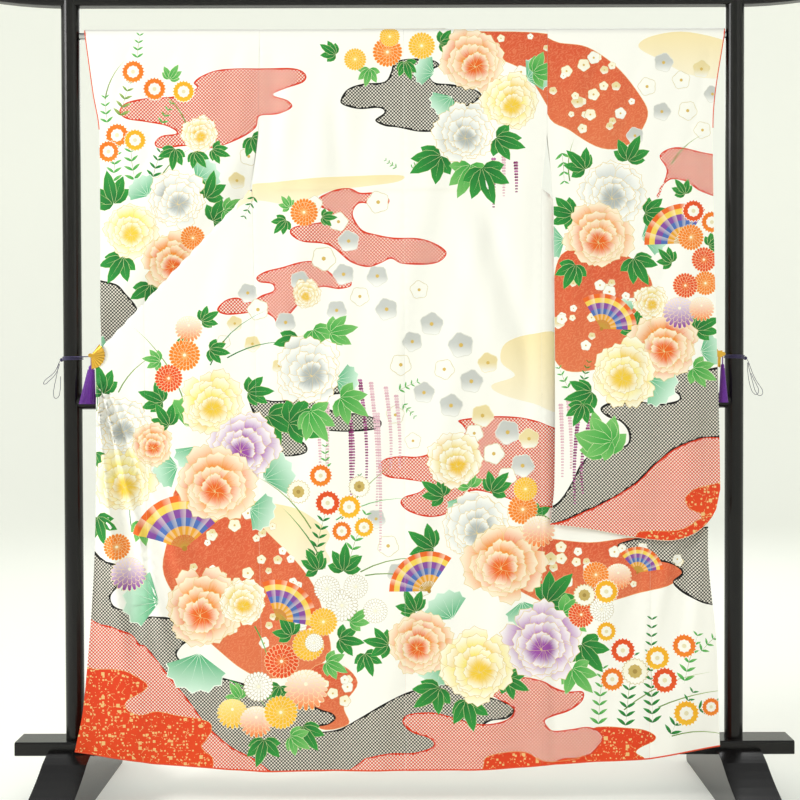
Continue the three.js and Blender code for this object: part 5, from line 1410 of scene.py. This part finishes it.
def border_of(triangles):
    """Ordered corner numbers round the edge."""
    edges = np.concatenate([triangles[:, [0, 1]], triangles[:, [1, 2]], triangles[:, [2, 0]]])
    count = triangles.max() + 1
    alone = ~np.isin(edges @ [count, 1], edges @ [1, count])
    following = dict(edges[alone].tolist())
    first = next(iter(following))
    loop = [first]
    while following[loop[-1]] != first:
        loop.append(following[loop[-1]])
    if len(loop) != len(following):
        print("  border has", len(following), "edges, the loop", len(loop))
    return np.array(loop)


def cut_size(outline):
    """Width and length of the smallest rectangle of cloth that the piece can be cut from."""
    sizes = []
    for turn in np.radians(np.arange(0, 90, 1.5)):
        around = outline @ np.array([[math.cos(turn), -math.sin(turn)], [math.sin(turn), math.cos(turn)]])
        sizes.append(sorted(np.ptp(around, axis=0)))
    return np.array(min(sizes, key=lambda pair: pair[0] * pair[1]))


def cloth(name, outline, rule, art, lining_dye, materials, spacing=11):
    low, high = outline.min(axis=0), outline.max(axis=0)
    art = [p for p in art if (p.outline.min(axis=0) < high).all() and (p.outline.max(axis=0) > low).all()]
    corners, faces = triangulate(outline, art, spacing)
    loop = border_of(faces)
    inner, inner_faces = triangulate(corners[loop], [], spacing * 0.7)
    inner_loop = border_of(inner_faces)
    nearest = [np.abs(inner[inner_loop] - corners[k]).sum(axis=1).argmin() for k in loop]
    inner_loop = inner_loop[nearest]

    outer_at, outer_out = hung(rule, corners)
    inner_at, inner_out = hung(rule, inner)
    places = np.concatenate([outer_at + outer_out * THICK / 2, inner_at - inner_out * THICK / 2]) * MM
    count = len(corners)
    following, inner_following = np.roll(loop, -1), np.roll(inner_loop, -1)
    rim = np.stack([loop, following, inner_following + count, inner_loop + count], axis=1)
    polygons = faces[:, ::-1].tolist() + (inner_faces + count).tolist() + rim.tolist()

    mesh = bpy.data.meshes.new(name)
    mesh.from_pydata(places.tolist(), [], polygons)
    for material in materials:
        mesh.materials.append(material)
    kinds = np.repeat([0, 1, 2], [len(faces), len(inner_faces), len(rim)])
    mesh.polygons.foreach_set("material_index", kinds.astype(np.int32))

    colours, patterns = dyed(corners, faces, art, IVORY)
    lining_colours = lining_dye(*inner[inner_faces].reshape(-1, 2).T)
    rim_colours = lining_dye(*corners[rim[:, [0, 1, 1, 0]]].reshape(-1, 2).T)
    colours = np.concatenate([colours[:, ::-1].reshape(-1, 3), lining_colours, rim_colours])
    dye = mesh.attributes.new("dye", "FLOAT_COLOR", "CORNER")
    dye.data.foreach_set("color", np.concatenate([colours, np.ones((len(colours), 1))], axis=1).ravel())
    numbers = np.zeros(len(colours))
    numbers[:patterns.size] = patterns[:, ::-1].ravel()
    mesh.attributes.new("pattern", "FLOAT", "CORNER").data.foreach_set("value", numbers)

    corner_of = np.concatenate([faces[:, ::-1].ravel(), inner_faces.ravel() + count, rim.ravel()])
    flat = np.concatenate([corners, inner])
    size = high - low
    mesh.uv_layers.new(name="Flat").data.foreach_set("uv", (flat[corner_of] * MM).ravel())
    tile = (flat - low) / size.max()
    tile[:, 0] = tile[:, 0] * 0.49 + np.where(np.arange(len(flat)) < count, 0.005, 0.505)
    tile[:, 1] = tile[:, 1] * 0.98 + 0.01
    mesh.uv_layers.new(name="OFBake").data.foreach_set("uv", tile[corner_of].ravel())
    outward = np.concatenate([outer_out, -inner_out])
    normals = outward[corner_of]
    normals[len(normals) - len(rim) * 4:] = 0
    mesh.polygons.foreach_set("use_smooth", np.ones(len(polygons), bool))
    mesh.normals_split_custom_set(normals.tolist())
    made = shown(name + "_cloth", mesh)

    x, y = outline.T
    area = abs(np.sum(x * np.roll(y, -1) - np.roll(x, -1) * y)) / 2 * MM * MM
    print(f"{name}: {len(polygons)} faces, {area:.3f} square metres")
    return Sheet(made, area, cut_size(outline) * MM)


# %% [markdown]
# ## Silk
# The ground is heavy satin crepe: smooth and bright, with a soft broad shine. The tied dots are worked
# out from the flat coordinates as a lattice turned by 45 degrees, so they follow the cloth wherever
# it folds. Gold flecks are cells of a Voronoi pattern, of which only some keep their gold.

# %% Printed silk and lining


def lattice(tree, flat, pitch, angle=45):
    """Distance from the middle of the nearest cell of a turned lattice, as a share of the pitch."""
    turn = node(tree, "Mapping", {
        "Vector": flat, "Rotation": (0, 0, math.radians(angle)), "Scale": (1 / pitch,) * 3})
    cell = node(tree, "VectorMath", {0: turn.outputs[0]}, operation="FRACTION").outputs[0]
    middle = node(tree, "VectorMath", {0: cell, 1: (0.5, 0.5, 0)}, operation="SUBTRACT").outputs[0]
    parts = node(tree, "SeparateXYZ", {0: middle})
    squares = [maths(tree, "POWER", maths(tree, "ABSOLUTE", parts.outputs[i]), 3) for i in (0, 1)]
    return maths(tree, "POWER", maths(tree, "ADD", *squares), 1 / 3)


def fade(tree, value, low, high):
    return node(tree, "MapRange", {"Value": value, "From Min": low, "From Max": high}).outputs[0]


def silk(name, ground="F9F5EC"):
    material, tree, shader = finish(
        name, Roughness=0.45, Sheen_Weight=0.05, Sheen_Roughness=0.45, Specular_IOR_Level=0.3)
    flat = node(tree, "UVMap", uv_map="Flat").outputs[0]
    dye = node(tree, "Attribute", attribute_name="dye").outputs["Color"]
    pattern = node(tree, "Attribute", attribute_name="pattern").outputs["Fac"]
    is_dots, is_flecks, is_mist = (
        node(tree, "Math", {0: pattern, 1: float(k), 2: 0.3}, operation="COMPARE").outputs[0]
        for k in (TIED_DOTS, FLECKS, MIST))
    away = lattice(tree, flat, 0.0052)
    dot = maths(tree, "MULTIPLY", fade(tree, away, 0.39, 0.32), fade(tree, away, 0.03, 0.09))
    undyed = mix(tree, 0.13, linear("FFF9EC") + [1], dye)
    colour = mix(tree, maths(tree, "MULTIPLY", is_dots, dot), dye, undyed)

    gold = 0.0
    for scale, share, keep in ((62.0, 0.28, 0.62), (150.0, 0.36, 0.6)):
        cells = node(tree, "TexVoronoi", {"Vector": flat, "Scale": scale}, voronoi_dimensions="2D",
                     distance="CHEBYCHEV")
        pick = node(tree, "SeparateColor", {0: cells.outputs["Color"]})
        leaf_size = maths(tree, "MULTIPLY", pick.outputs[0], share)
        fleck = maths(tree, "LESS_THAN", cells.outputs["Distance"], leaf_size)
        gold = maths(tree, "MAXIMUM", gold, maths(tree, "MULTIPLY", fleck, maths(
            tree, "GREATER_THAN", pick.outputs[1], keep)))
    veins = node(tree, "TexVoronoi", {"Vector": flat, "Scale": 75.0}, voronoi_dimensions="2D",
                 feature="DISTANCE_TO_EDGE")
    broken = node(tree, "TexNoise", {"Vector": flat, "Scale": 95.0})
    thread = maths(tree, "MULTIPLY", maths(tree, "LESS_THAN", veins.outputs["Distance"], 0.03),
                   maths(tree, "GREATER_THAN", broken.outputs["Fac"], 0.56))
    gold = maths(tree, "MAXIMUM", gold, thread)
    colour = mix(tree, maths(tree, "MULTIPLY", is_flecks, gold), colour, linear("EFC27E") + [1])

    streak = node(tree, "TexWave", {"Vector": flat, "Scale": 55.0, "Distortion": 14.0, "Detail": 2.0,
                                    "Detail Scale": 1.5}, bands_direction="DIAGONAL")
    line = maths(tree, "MULTIPLY", fade(tree, streak.outputs["Fac"], 0.62, 0.95), 0.4)
    colour = mix(tree, maths(tree, "MULTIPLY", is_mist, line), colour, linear("EE9A6C") + [1])

    thread = node(tree, "TexNoise", {"Vector": flat, "Scale": 900.0, "Detail": 2.0})
    shade = fade(tree, thread.outputs["Fac"], 0.2, 0.8)
    low = node(tree, "HueSaturation", {"Value": 0.965, "Color": colour}).outputs[0]
    colour = mix(tree, shade, low, colour)
    tree.links.new(colour, shader.inputs["Base Color"])
    bump(tree, shader, thread.outputs["Fac"], 0.12, 0.0004)
    return material


def plain_silk(name):
    """The lining: thinner plain-woven silk, whose dye comes from its own patches."""
    material, tree, shader = finish(name, Roughness=0.55, Sheen_Weight=0.1, Specular_IOR_Level=0.3)
    flat = node(tree, "UVMap", uv_map="Flat").outputs[0]
    dye = node(tree, "Attribute", attribute_name="dye").outputs["Color"]
    weave = node(tree, "TexWave", {"Vector": flat, "Scale": 700.0, "Distortion": 2.0})
    low = node(tree, "HueSaturation", {"Value": 0.95, "Color": dye}).outputs[0]
    tree.links.new(mix(tree, weave.outputs["Fac"], low, dye), shader.inputs["Base Color"])
    bump(tree, shader, weave.outputs["Fac"], 0.1, 0.0003)
    return material


PRINTED = silk("printed_silk")
LINING = plain_silk("lining_silk")
EDGE = plain_silk("edge_silk")
CLOTH_MATERIALS = [PRINTED, LINING, EDGE]

# %% [markdown]
# ## The pieces of the garment
# Two backs, two fronts, two overlaps and two sleeves are printed. Below the knee the lining turns
# vermilion, as it does at the wrists, and it rolls round the hem to show as a thin coloured edge.

# %% Linings and coloured edges
VERMILION = linear("EE5222")


def faded(share):
    """Lining dye from ivory at share 0 to vermilion at share 1."""
    share = np.clip(share, 0, 1)[:, None]
    return np.array(IVORY) * (1 - share) + np.array(VERMILION) * share


def body_lining(u, v):
    return faded((v - 1260) / 220)


def sleeve_lining(u, v):
    return faded((np.abs(u) - 545) / 90)


def thread_of_silk(name, code):
    """Silk for rolled edges, woven on Object coordinates."""
    material, tree, shader = finish(name, Roughness=0.5, Sheen_Weight=0.05)
    spot = node(tree, "TexCoord").outputs["Object"]
    weave = node(tree, "TexNoise", {"Vector": spot, "Scale": 700.0, "Detail": 2.0})
    low = [c * 0.88 for c in linear(code)] + [1]
    tree.links.new(mix(tree, weave.outputs["Fac"], low, linear(code) + [1]), shader.inputs["Base Color"])
    bump(tree, shader, weave.outputs["Fac"], 0.12, 0.0003)
    return material


ROLL = thread_of_silk("vermilion_roll", "EA4A1C")
PIPING = thread_of_silk("cream_piping", "F1EAD2")


def edging(name, rule, flat, radius, material, lift=0.0):
    """A thin roll of silk that follows flat points of a piece, on the hanging cloth."""
    at, out = hung(rule, np.asarray(flat, float))
    made = curve_object(name + "_curve", ((at + out * lift) * MM).tolist(), radius * MM, material)
    mesh = bpy.data.meshes.new_from_object(made)
    bpy.data.objects.remove(made)
    mesh.materials.clear()
    mesh.materials.append(material)
    roll = shown(name, mesh)
    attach(roll, "root")
    return roll


def low_edge(outline, above):
    """The points of the hem, in order of x: the lowest one in each step of 8 mm below a drop."""
    hem = outline[outline[:, 1] > above]
    hem = hem[np.lexsort([-hem[:, 1], np.round(hem[:, 0] / 8)])]
    return hem[np.unique(np.round(hem[:, 0] / 8), return_index=True)[1]]


# %% Hang the printed pieces
OVERLAP_WIDTH = 0.17
sheets = {}




def add_sheet(name, made, strip=None):
    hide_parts(name)
    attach(made.object, "root")
    width, length = (float(side) for side in made.size)
    width = strip or width
    sheets[name] = made


HEM_RADIUS, WRIST_RADIUS, PIPING_RADIUS = 1.9, 1.4, 1.0
for side, half in HALVES.items():
    body = [
        ("back", back_outline(half), hang_back(half), min(half["hem"][0], BACK_HEM) - 4, None),
        ("front", front_outline(half), hang_front(half), half["hem"][1] - 4, None),
        ("okumi", overlap_outline(half), hang_front(half), half["hem"][2] - 4, OVERLAP_WIDTH),
    ]
    for kind, outline, rule, above, strip in body:
        made = cloth(f"{kind}_{side}", outline, rule, body_art, body_lining, CLOTH_MATERIALS)
        hem = edging(f"{kind}_{side}_hem", rule, low_edge(outline, above), HEM_RADIUS, ROLL)
        add_sheet(f"{kind}_{side}", made, strip)

    sign, outline, rule = half["sign"], sleeve_outline(half), hang_sleeve(side)
    art = sleeve_art[side]
    if side == "left":
        art = art + [p for p in mirrored(sleeve_art["right"]) if p.outline[:, 1].mean() > 690]
    far_art = mirrored(sleeve_art["right"], 1000 if side == "right" else 0, flip_drop=True)
    made = cloth(f"sleeve_{side}", outline, rule, art + far_art, sleeve_lining, CLOTH_MATERIALS)
    wrist_drop = walk(2, 225, 12)
    wrist_line = np.stack([sleeve_sides(half, wrist_drop)[1], wrist_drop], axis=-1)
    wrist = edging(f"sleeve_{side}_wrist", rule, wrist_line, WRIST_RADIUS, ROLL)
    across = walk(0.004, 0.96, 0.03)
    level = sleeve_bottom(half, across)
    ends = np.array([sleeve_sides(half, d) for d in level])
    bottom = np.stack([ends[:, 0] + (ends[:, 1] - ends[:, 0]) * across, level], axis=-1)
    piping = edging(f"sleeve_{side}_piping", rule, bottom, PIPING_RADIUS, PIPING)
    add_sheet(f"sleeve_{side}", made, None)

# %% [markdown]
# ## Lacquer, steel, gilt and silk cord
# The stand is black lacquer, deep and mirror-smooth but for a little waviness under the gloss.

# %% Finishes of the stand


def lacquer():
    material, tree, shader = finish("black_lacquer", Roughness=0.2, Specular_IOR_Level=0.3)
    spot = node(tree, "TexCoord").outputs["Object"]
    broad = node(tree, "TexNoise", {"Vector": spot, "Scale": 9.0, "Detail": 3.0})
    tree.links.new(mix(tree, broad.outputs["Fac"], [0.003, 0.003, 0.003, 1], [0.008, 0.007, 0.007, 1]),
                   shader.inputs["Base Color"])
    bump(tree, shader, broad.outputs["Fac"], 0.05, 0.002)
    return material


def metal(name, code, roughness):
    material, tree, shader = finish(name, Metallic=1.0, Roughness=roughness)
    spot = node(tree, "TexCoord").outputs["Object"]
    grain = node(tree, "TexNoise", {"Vector": spot, "Scale": 260.0, "Detail": 2.0})
    dull = [c * 0.8 for c in linear(code)] + [1]
    tree.links.new(mix(tree, grain.outputs["Fac"], dull, linear(code) + [1]), shader.inputs["Base Color"])
    return material


LACQUER = lacquer()
GILT = metal("gilt", "E9B64A", 0.28)
VIOLET = cord_material("violet_floss", "7A22B0")
STEEL = metal("rod_steel", "C9CBCC", 0.25)
COLLAR = thread_of_silk("collar_silk", "F7F3E8")

# %% [markdown]
# ## The collar
# The collar is a strip folded double along its length. Its loose triangles are merged first, so that
# it shades as one smooth band.

# %% Collar
MERGE, SOFT_ANGLE = 1e-5, math.radians(38)
shape = bmesh.new()
shape.from_mesh(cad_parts["collar"].data)
bmesh.ops.remove_doubles(shape, verts=shape.verts, dist=MERGE)
folded_area = sum(face.calc_area() for face in shape.faces) / 2
collar_mesh = bpy.data.meshes.new("collar_band")
shape.to_mesh(collar_mesh)
shape.free()
collar_mesh.materials.append(COLLAR)
collar_mesh.shade_smooth()
collar_mesh.set_sharp_from_angle(angle=SOFT_ANGLE)
collar = shown("collar_band", collar_mesh)
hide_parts("collar")
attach(collar, "root")

# %% [markdown]
# ## Tassels
# A tassel is many strands that leave one knot and spread a little on the way down. Geometry Nodes lay
# out the strands: points on a spiral hold one thread each, and every thread is bent to run from the
# knot to its own place at the foot.

# %% A node tree for strands
STRAND_INPUTS = [
    # name, kind of socket
    ("Head", "NodeSocketVector"), ("Foot", "NodeSocketVector"), ("Strands", "NodeSocketInt"),
    ("Head Size", "NodeSocketVector"), ("Foot Size", "NodeSocketVector"),
    ("Thread Radius", "NodeSocketFloat"), ("Material", "NodeSocketMaterial"),
]
GOLDEN_TURN = 2.39996


def strand_tree():
    tree = bpy.data.node_groups.new("strands", "GeometryNodeTree")
    for name, kind in STRAND_INPUTS:
        tree.interface.new_socket(name, in_out="INPUT", socket_type=kind)
    tree.interface.new_socket("Geometry", in_out="OUTPUT", socket_type="NodeSocketGeometry")
    given = tree.nodes.new("NodeGroupInput").outputs
    result = tree.nodes.new("NodeGroupOutput")

    def add(kind, links, **settings):
        made = tree.nodes.new(kind)
        for key, value in settings.items():
            setattr(made, key, value)
        for key, value in links.items():
            if hasattr(value, "is_linked"):
                tree.links.new(value, made.inputs[key])
            else:
                made.inputs[key].default_value = value
        return made

    index = add("GeometryNodeInputIndex", {}).outputs[0]
    angle = add("ShaderNodeMath", {0: index, 1: GOLDEN_TURN}, operation="MULTIPLY").outputs[0]
    part = add("ShaderNodeMath", {0: index, 1: given["Strands"]}, operation="DIVIDE").outputs[0]
    reach = add("ShaderNodeMath", {0: part, 1: 0.5}, operation="POWER").outputs[0]
    around = add("ShaderNodeCombineXYZ", {
        0: add("ShaderNodeMath", {0: angle}, operation="COSINE").outputs[0],
        1: add("ShaderNodeMath", {0: angle}, operation="SINE").outputs[0]}).outputs[0]
    place_of = add("ShaderNodeVectorMath", {0: around, "Scale": reach}, operation="SCALE").outputs[0]
    points = add("GeometryNodePoints", {"Count": given["Strands"]}).outputs[0]
    named = add("GeometryNodeStoreNamedAttribute", {"Geometry": points, "Name": "place", "Value": place_of},
                data_type="FLOAT_VECTOR")
    thread = add("GeometryNodeResampleCurve", {"Curve": add("GeometryNodeCurvePrimitiveLine", {}).outputs[0],
                                               "Count": 7}).outputs[0]
    threads = add("GeometryNodeInstanceOnPoints", {"Points": named.outputs[0], "Instance": thread}).outputs[0]
    real = add("GeometryNodeRealizeInstances", {"Geometry": threads}).outputs[0]
    along_thread = add("GeometryNodeSplineParameter", {}).outputs["Factor"]
    spread = add("ShaderNodeMix", {"Factor": along_thread, 4: given["Head Size"], 5: given["Foot Size"]},
                 data_type="VECTOR").outputs[1]
    own = add("GeometryNodeInputNamedAttribute", {"Name": "place"}, data_type="FLOAT_VECTOR").outputs[0]
    aside = add("ShaderNodeVectorMath", {0: own, 1: spread}, operation="MULTIPLY").outputs[0]
    core = add("ShaderNodeMix", {"Factor": along_thread, 4: given["Head"], 5: given["Foot"]},
               data_type="VECTOR")
    spot = add("ShaderNodeVectorMath", {0: core.outputs[1], 1: aside}, operation="ADD").outputs[0]
    bent = add("GeometryNodeSetPosition", {"Geometry": real, "Position": spot}).outputs[0]
    ring_curve = add("GeometryNodeCurvePrimitiveCircle", {
        "Resolution": 5, "Radius": given["Thread Radius"]}).outputs[0]
    mesh = add("GeometryNodeCurveToMesh", {"Curve": bent, "Profile Curve": ring_curve}).outputs[0]
    whole = add("GeometryNodeRealizeInstances", {"Geometry": mesh}).outputs[0]
    dressed = add("GeometryNodeSetMaterial", {"Geometry": whole, "Material": given["Material"]}).outputs[0]
    tree.links.new(dressed, result.inputs[0])
    return tree


STRANDS = strand_tree()


def strands(name, values):
    """Run the tree on an empty mesh and keep what it makes as a plain mesh."""
    host = shown(name + "_host", bpy.data.meshes.new(name + "_host"))
    modifier = host.modifiers.new("strands", "NODES")
    modifier.node_group = STRANDS
    for item in STRANDS.interface.items_tree:
        if item.in_out == "INPUT" and item.name in values:
            modifier[item.identifier] = values[item.name]
    ready = host.evaluated_get(bpy.context.evaluated_depsgraph_get())
    mesh = bpy.data.meshes.new_from_object(ready)
    host.modifiers.remove(modifier)
    bpy.data.objects.remove(host)
    mesh.name = name
    return shown(name, mesh)


def middle(points, low, high):
    """The mean of the points whose height lies between two shares of the whole height."""
    heights = points[:, 2]
    share = (heights - heights.min()) / (heights.max() - heights.min())
    return points[(share >= low) & (share <= high)].mean(axis=0)


STRAND_COUNT, THREAD_RADIUS = 280, 0.0006
TASSEL_CORD, NECK_DROP, HEAD_SHARE, HEAD_RADIUS = 0.018, 0.0255, 0.4, 0.0058
for side in HALVES:
    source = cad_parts[f"tassel_{side}"]
    points = np.array([source.matrix_world @ v.co for v in source.data.vertices])
    head, foot = middle(points, 0.99, 1), middle(points, 0, 0.01)
    low_points = points[points[:, 2] < points[:, 2].min() + 0.001]
    foot_size = np.ptp(low_points, axis=0) / 2 - THREAD_RADIUS
    made = strands(f"tassel_{side}_strands", {
        "Head": tuple(head - [0, 0, NECK_DROP]), "Foot": tuple(foot), "Strands": STRAND_COUNT,
        "Head Size": tuple(foot_size * HEAD_SHARE), "Foot Size": tuple(foot_size),
        "Thread Radius": THREAD_RADIUS, "Material": VIOLET})
    shape = bmesh.new()
    shape.from_mesh(made.data)
    flat_share = foot_size / foot_size.max()
    bmesh.ops.create_uvsphere(shape, u_segments=18, v_segments=12, radius=HEAD_RADIUS, matrix=(
        Matrix.Translation(head - [0, 0, 0.0225]) @ Matrix.Diagonal((flat_share[0], flat_share[1], 1.1, 1))))
    bmesh.ops.create_cone(shape, cap_ends=True, segments=10, radius1=0.0012, radius2=0.0012,
                          depth=TASSEL_CORD, matrix=Matrix.Translation(head - [0, 0, TASSEL_CORD / 2]))
    shape.to_mesh(made.data)
    shape.free()
    made.data.shade_smooth()
    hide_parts(f"tassel_{side}")
    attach(made, "root")
    print("tassel", side, len(made.data.polygons), "faces")

# %% Ribs of the fan clips
FAN_RADIUS, RIB_TOTAL, RIB_GROOVE, RIB_HEIGHT = 30, 20, 1.6, 1.5
FAN_FROM, FAN_TO, FAN_EYE = -88, 53, 3.5
for side, half in HALVES.items():
    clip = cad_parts[f"fan_clip_{side}"]
    points = np.array([clip.matrix_world @ v.co for v in clip.data.vertices]) / MM
    low, high = points.min(axis=0), points.max(axis=0)
    sign = half["sign"]
    eye = (low[0] + FAN_RADIUS if sign > 0 else high[0] - FAN_RADIUS, low[2] + FAN_RADIUS)
    face = high[1] if sign > 0 else low[1]
    spots = []
    for i in range(RIB_TOTAL + 1):
        angle = math.radians(FAN_FROM + (FAN_TO - FAN_FROM) * i / RIB_TOTAL)
        for radius in (FAN_EYE, FAN_RADIUS - (i % 2) * RIB_GROOVE):
            rise = RIB_HEIGHT * (i % 2 == 0) * radius / FAN_RADIUS
            for y in (face + sign * (0.05 + rise), face):
                spots.append((eye[0] - sign * radius * math.cos(angle), y, eye[1] + radius * math.sin(angle)))
    faces = []
    for i in range(RIB_TOTAL):
        a, b = 4 * i, 4 * i + 4
        faces += [(a, b, b + 2, a + 2), (a + 2, b + 2, b + 3, a + 3)]
    mesh = bpy.data.meshes.new(f"fan_ribs_{side}")
    mesh.from_pydata([tuple(c * MM for c in spot) for spot in spots], [], faces)
    mesh.materials.append(GILT)
    ribs = shown(f"fan_ribs_{side}", mesh)
    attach(ribs, "root")

# %% The stand, the clips and the cords round the posts
for name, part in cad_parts.items():
    if part.hide_render or name.startswith("tassel") or name == "collar":
        continue
    if name.startswith("fan_clip"):
        material = GILT
    elif name == "garment_rod":
        material = STEEL
    elif name.startswith(("tassel", "tie_cord")):
        material = PURPLE
    else:
        material = LACQUER
    part.data.materials.clear()
    part.data.materials.append(material)
    part.data.shade_smooth()
    part.data.set_sharp_from_angle(angle=math.radians(28))
    print("kept", name)

# %% [markdown]
# ## The room
# A wide pale bowl stands round the object, so that its floor runs up into its wall with no line, and
# no view from any side is blocked. Two big soft lamps and a pale sky light the cloth evenly.

# %% Floor and light
BOWL_FLAT, BOWL_ROUND, BOWL_TOP = 5.6, 2.5, 6.0
profile = [(0.0, 0.0), (2.0, 0.0), (BOWL_FLAT, 0.0)]
for i in range(1, 13):
    turn = math.pi / 2 * i / 12
    profile.append((BOWL_FLAT + BOWL_ROUND * math.sin(turn), BOWL_ROUND * (1 - math.cos(turn))))
profile.append((BOWL_FLAT + BOWL_ROUND, BOWL_TOP))
SIDES = 96
spots = [(r * math.cos(2 * math.pi * k / SIDES), r * math.sin(2 * math.pi * k / SIDES), z)
         for r, z in profile[1:] for k in range(SIDES)] + [(0, 0, 0)]
faces = [(a * SIDES + k, a * SIDES + (k + 1) % SIDES, (a + 1) * SIDES + (k + 1) % SIDES, (a + 1) * SIDES + k)
         for a in range(len(profile) - 2) for k in range(SIDES)]
faces += [(len(spots) - 1, (k + 1) % SIDES, k) for k in range(SIDES)]
bowl_mesh = bpy.data.meshes.new("room")
bowl_mesh.from_pydata(spots, [], faces)
bowl_mesh.polygons.foreach_set("use_smooth", [True] * len(faces))
paper, _, paper_shader = finish("paper", Roughness=0.9, Specular_IOR_Level=0.1)
paper_shader.inputs["Base Color"].default_value = linear("F1F2EA") + [1]
paper_shader.inputs["Emission Color"].default_value = (0.99, 1.0, 0.96, 1)
paper_shader.inputs["Emission Strength"].default_value = 0.17
bowl_mesh.materials.append(paper)
bowl = shown("room", bowl_mesh)

world = bpy.data.worlds.new("sky")
world.use_nodes = True
world.node_tree.nodes["Background"].inputs[0].default_value = (0.975, 1.0, 0.99, 1)
world.node_tree.nodes["Background"].inputs[1].default_value = 0.585
bpy.context.scene.world = world
bpy.context.scene.view_settings.view_transform = "Standard"

LAMPS = [
    # name, place, aim, size, power
    ("key", (-4.2, -1.9, 2.6), (0, 0, 0.9), 1.0, 116),
    ("fill", (3.2, -3.6, 2.2), (0, 0, 0.8), 2.6, 12),
    ("back", (0.6, 3.6, 3.2), (0, 0, 0.9), 2.4, 48),
]
for name, spot, aim, size, power in LAMPS:
    lamp = shown(name, bpy.data.lights.new(name, "AREA"))
    lamp.data.size = size
    lamp.data.energy = power
    lamp.location = spot
    lamp.rotation_euler = (Vector(aim) - Vector(spot)).to_track_quat("-Z", "Y").to_euler()
